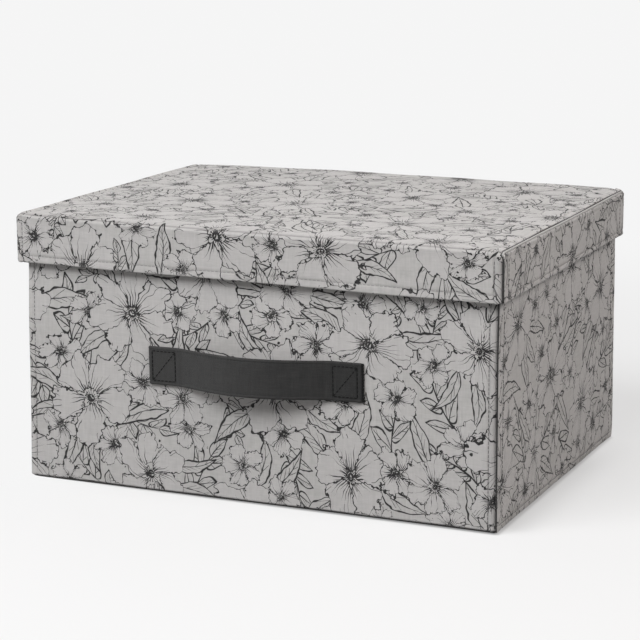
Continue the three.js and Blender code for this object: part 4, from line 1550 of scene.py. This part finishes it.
floor_finish, floor_tree, floor_shader = material("pale_floor", Specular_IOR_Level=0.1, Roughness=0.9)
floor_place = object_place(floor_tree)
drift = noise(floor_tree, floor_place, 0.8, 2.0)
floor_colour = tint(floor_tree, drift, (0.29, 0.29, 0.29), (0.31, 0.31, 0.31))
connect(floor_tree, floor_shader.inputs["Base Color"], floor_colour)
floor_x, floor_y, _ = floor_place.parts()
visible = seen(floor_tree)
connect(floor_tree, floor_shader.inputs["Emission Color"], vector(floor_tree, *PALE))
# painted shadow on the floor: its glow is lowered to the right of the box, most just at the right wall's foot
beside = floor_x.ramp(0.199, 0.245, 1.0, 0.0) * floor_y.ramp(-0.158, -0.125)
beside = beside * floor_y.ramp(0.04, 0.16, 1.0, 0.0)
close = floor_x.ramp(0.2, 0.2045, 1.0, 0.0) * floor_y.ramp(-0.153, -0.147)
close = close * floor_y.ramp(0.145, 0.155, 1.0, 0.0)
glow = FLOOR_GLOW - beside * beside * PAINTED_SHADOW_BESIDE - close * close * PAINTED_SHADOW_UNDER
connect(floor_tree, floor_shader.inputs["Emission Strength"], visible * glow)
from_middle = (floor_x * floor_x + floor_y * floor_y).root()
far_off = from_middle.ramp(0.3, 1.1).most((floor_x * -1.0).ramp(0.10, 0.21)) * visible
backdrop = floor_tree.nodes.new("ShaderNodeEmission")
backdrop.inputs["Color"].default_value = (*PALE, 1.0)
blended = floor_tree.nodes.new("ShaderNodeMixShader")
connect(floor_tree, blended.inputs[0], far_off)
floor_tree.links.new(floor_shader.outputs[0], blended.inputs[1])
floor_tree.links.new(backdrop.outputs[0], blended.inputs[2])
floor_tree.links.new(blended.outputs[0], floor_tree.nodes["Material Output"].inputs[0])
floor.data.materials.append(floor_finish)

world = bpy.data.worlds.new("studio")
bpy.context.scene.world = world
world.use_nodes = True
sky = world.node_tree.nodes["Background"]
sky.inputs["Color"].default_value = (1.0, 1.0, 1.0, 1.0)
shown = seen(world.node_tree)
connect(world.node_tree, sky.inputs["Strength"], WORLD_LIGHT + shown * (PALE[0] - WORLD_LIGHT))


def softbox(name, azimuth, elevation, distance, size, watts, colour):
    """A large soft lamp that faces the box; azimuth is counted from the front to the right."""
    lamp = bpy.data.objects.new(name, bpy.data.lights.new(name, "AREA"))
    bpy.context.scene.collection.objects.link(lamp)
    lamp.data.shape = "RECTANGLE"
    lamp.data.size, lamp.data.size_y = size
    lamp.data.energy, lamp.data.color = watts, colour
    a, e = math.radians(azimuth), math.radians(elevation)
    aim = Vector((math.sin(a) * math.cos(e), -math.cos(a) * math.cos(e), math.sin(e)))
    lamp.location = Vector((0, 0, AIM_HEIGHT)) + aim * distance
    lamp.rotation_euler = aim.to_track_quat("Z", "Y").to_euler()


softbox("main_softbox", -20, 46.5, 2.7, (2.0, 1.2), 73.5, (0.985, 0.995, 1.005))
softbox("side_softbox", 70, 42, 2.6, (1.6, 1.6), 44.5, (1.0, 0.95, 0.925))
softbox("back_softbox", 215, 9, 2.9, (2.2, 0.8), 22.0, (1.0, 1.0, 1.0))

bpy.context.scene.view_settings.view_transform = "Standard"

# ---------------------------------------------------------------- the frame's own nodes
for node_name, node in frame["nodes"].items():
    slot_name = next(s["material_slot"] for s in frame["record"]["subparts"] if s["node"] == node_name)
    node.data.materials.clear()
    node.data.materials.append(BOARD if slot_name == "board" else PATCH)
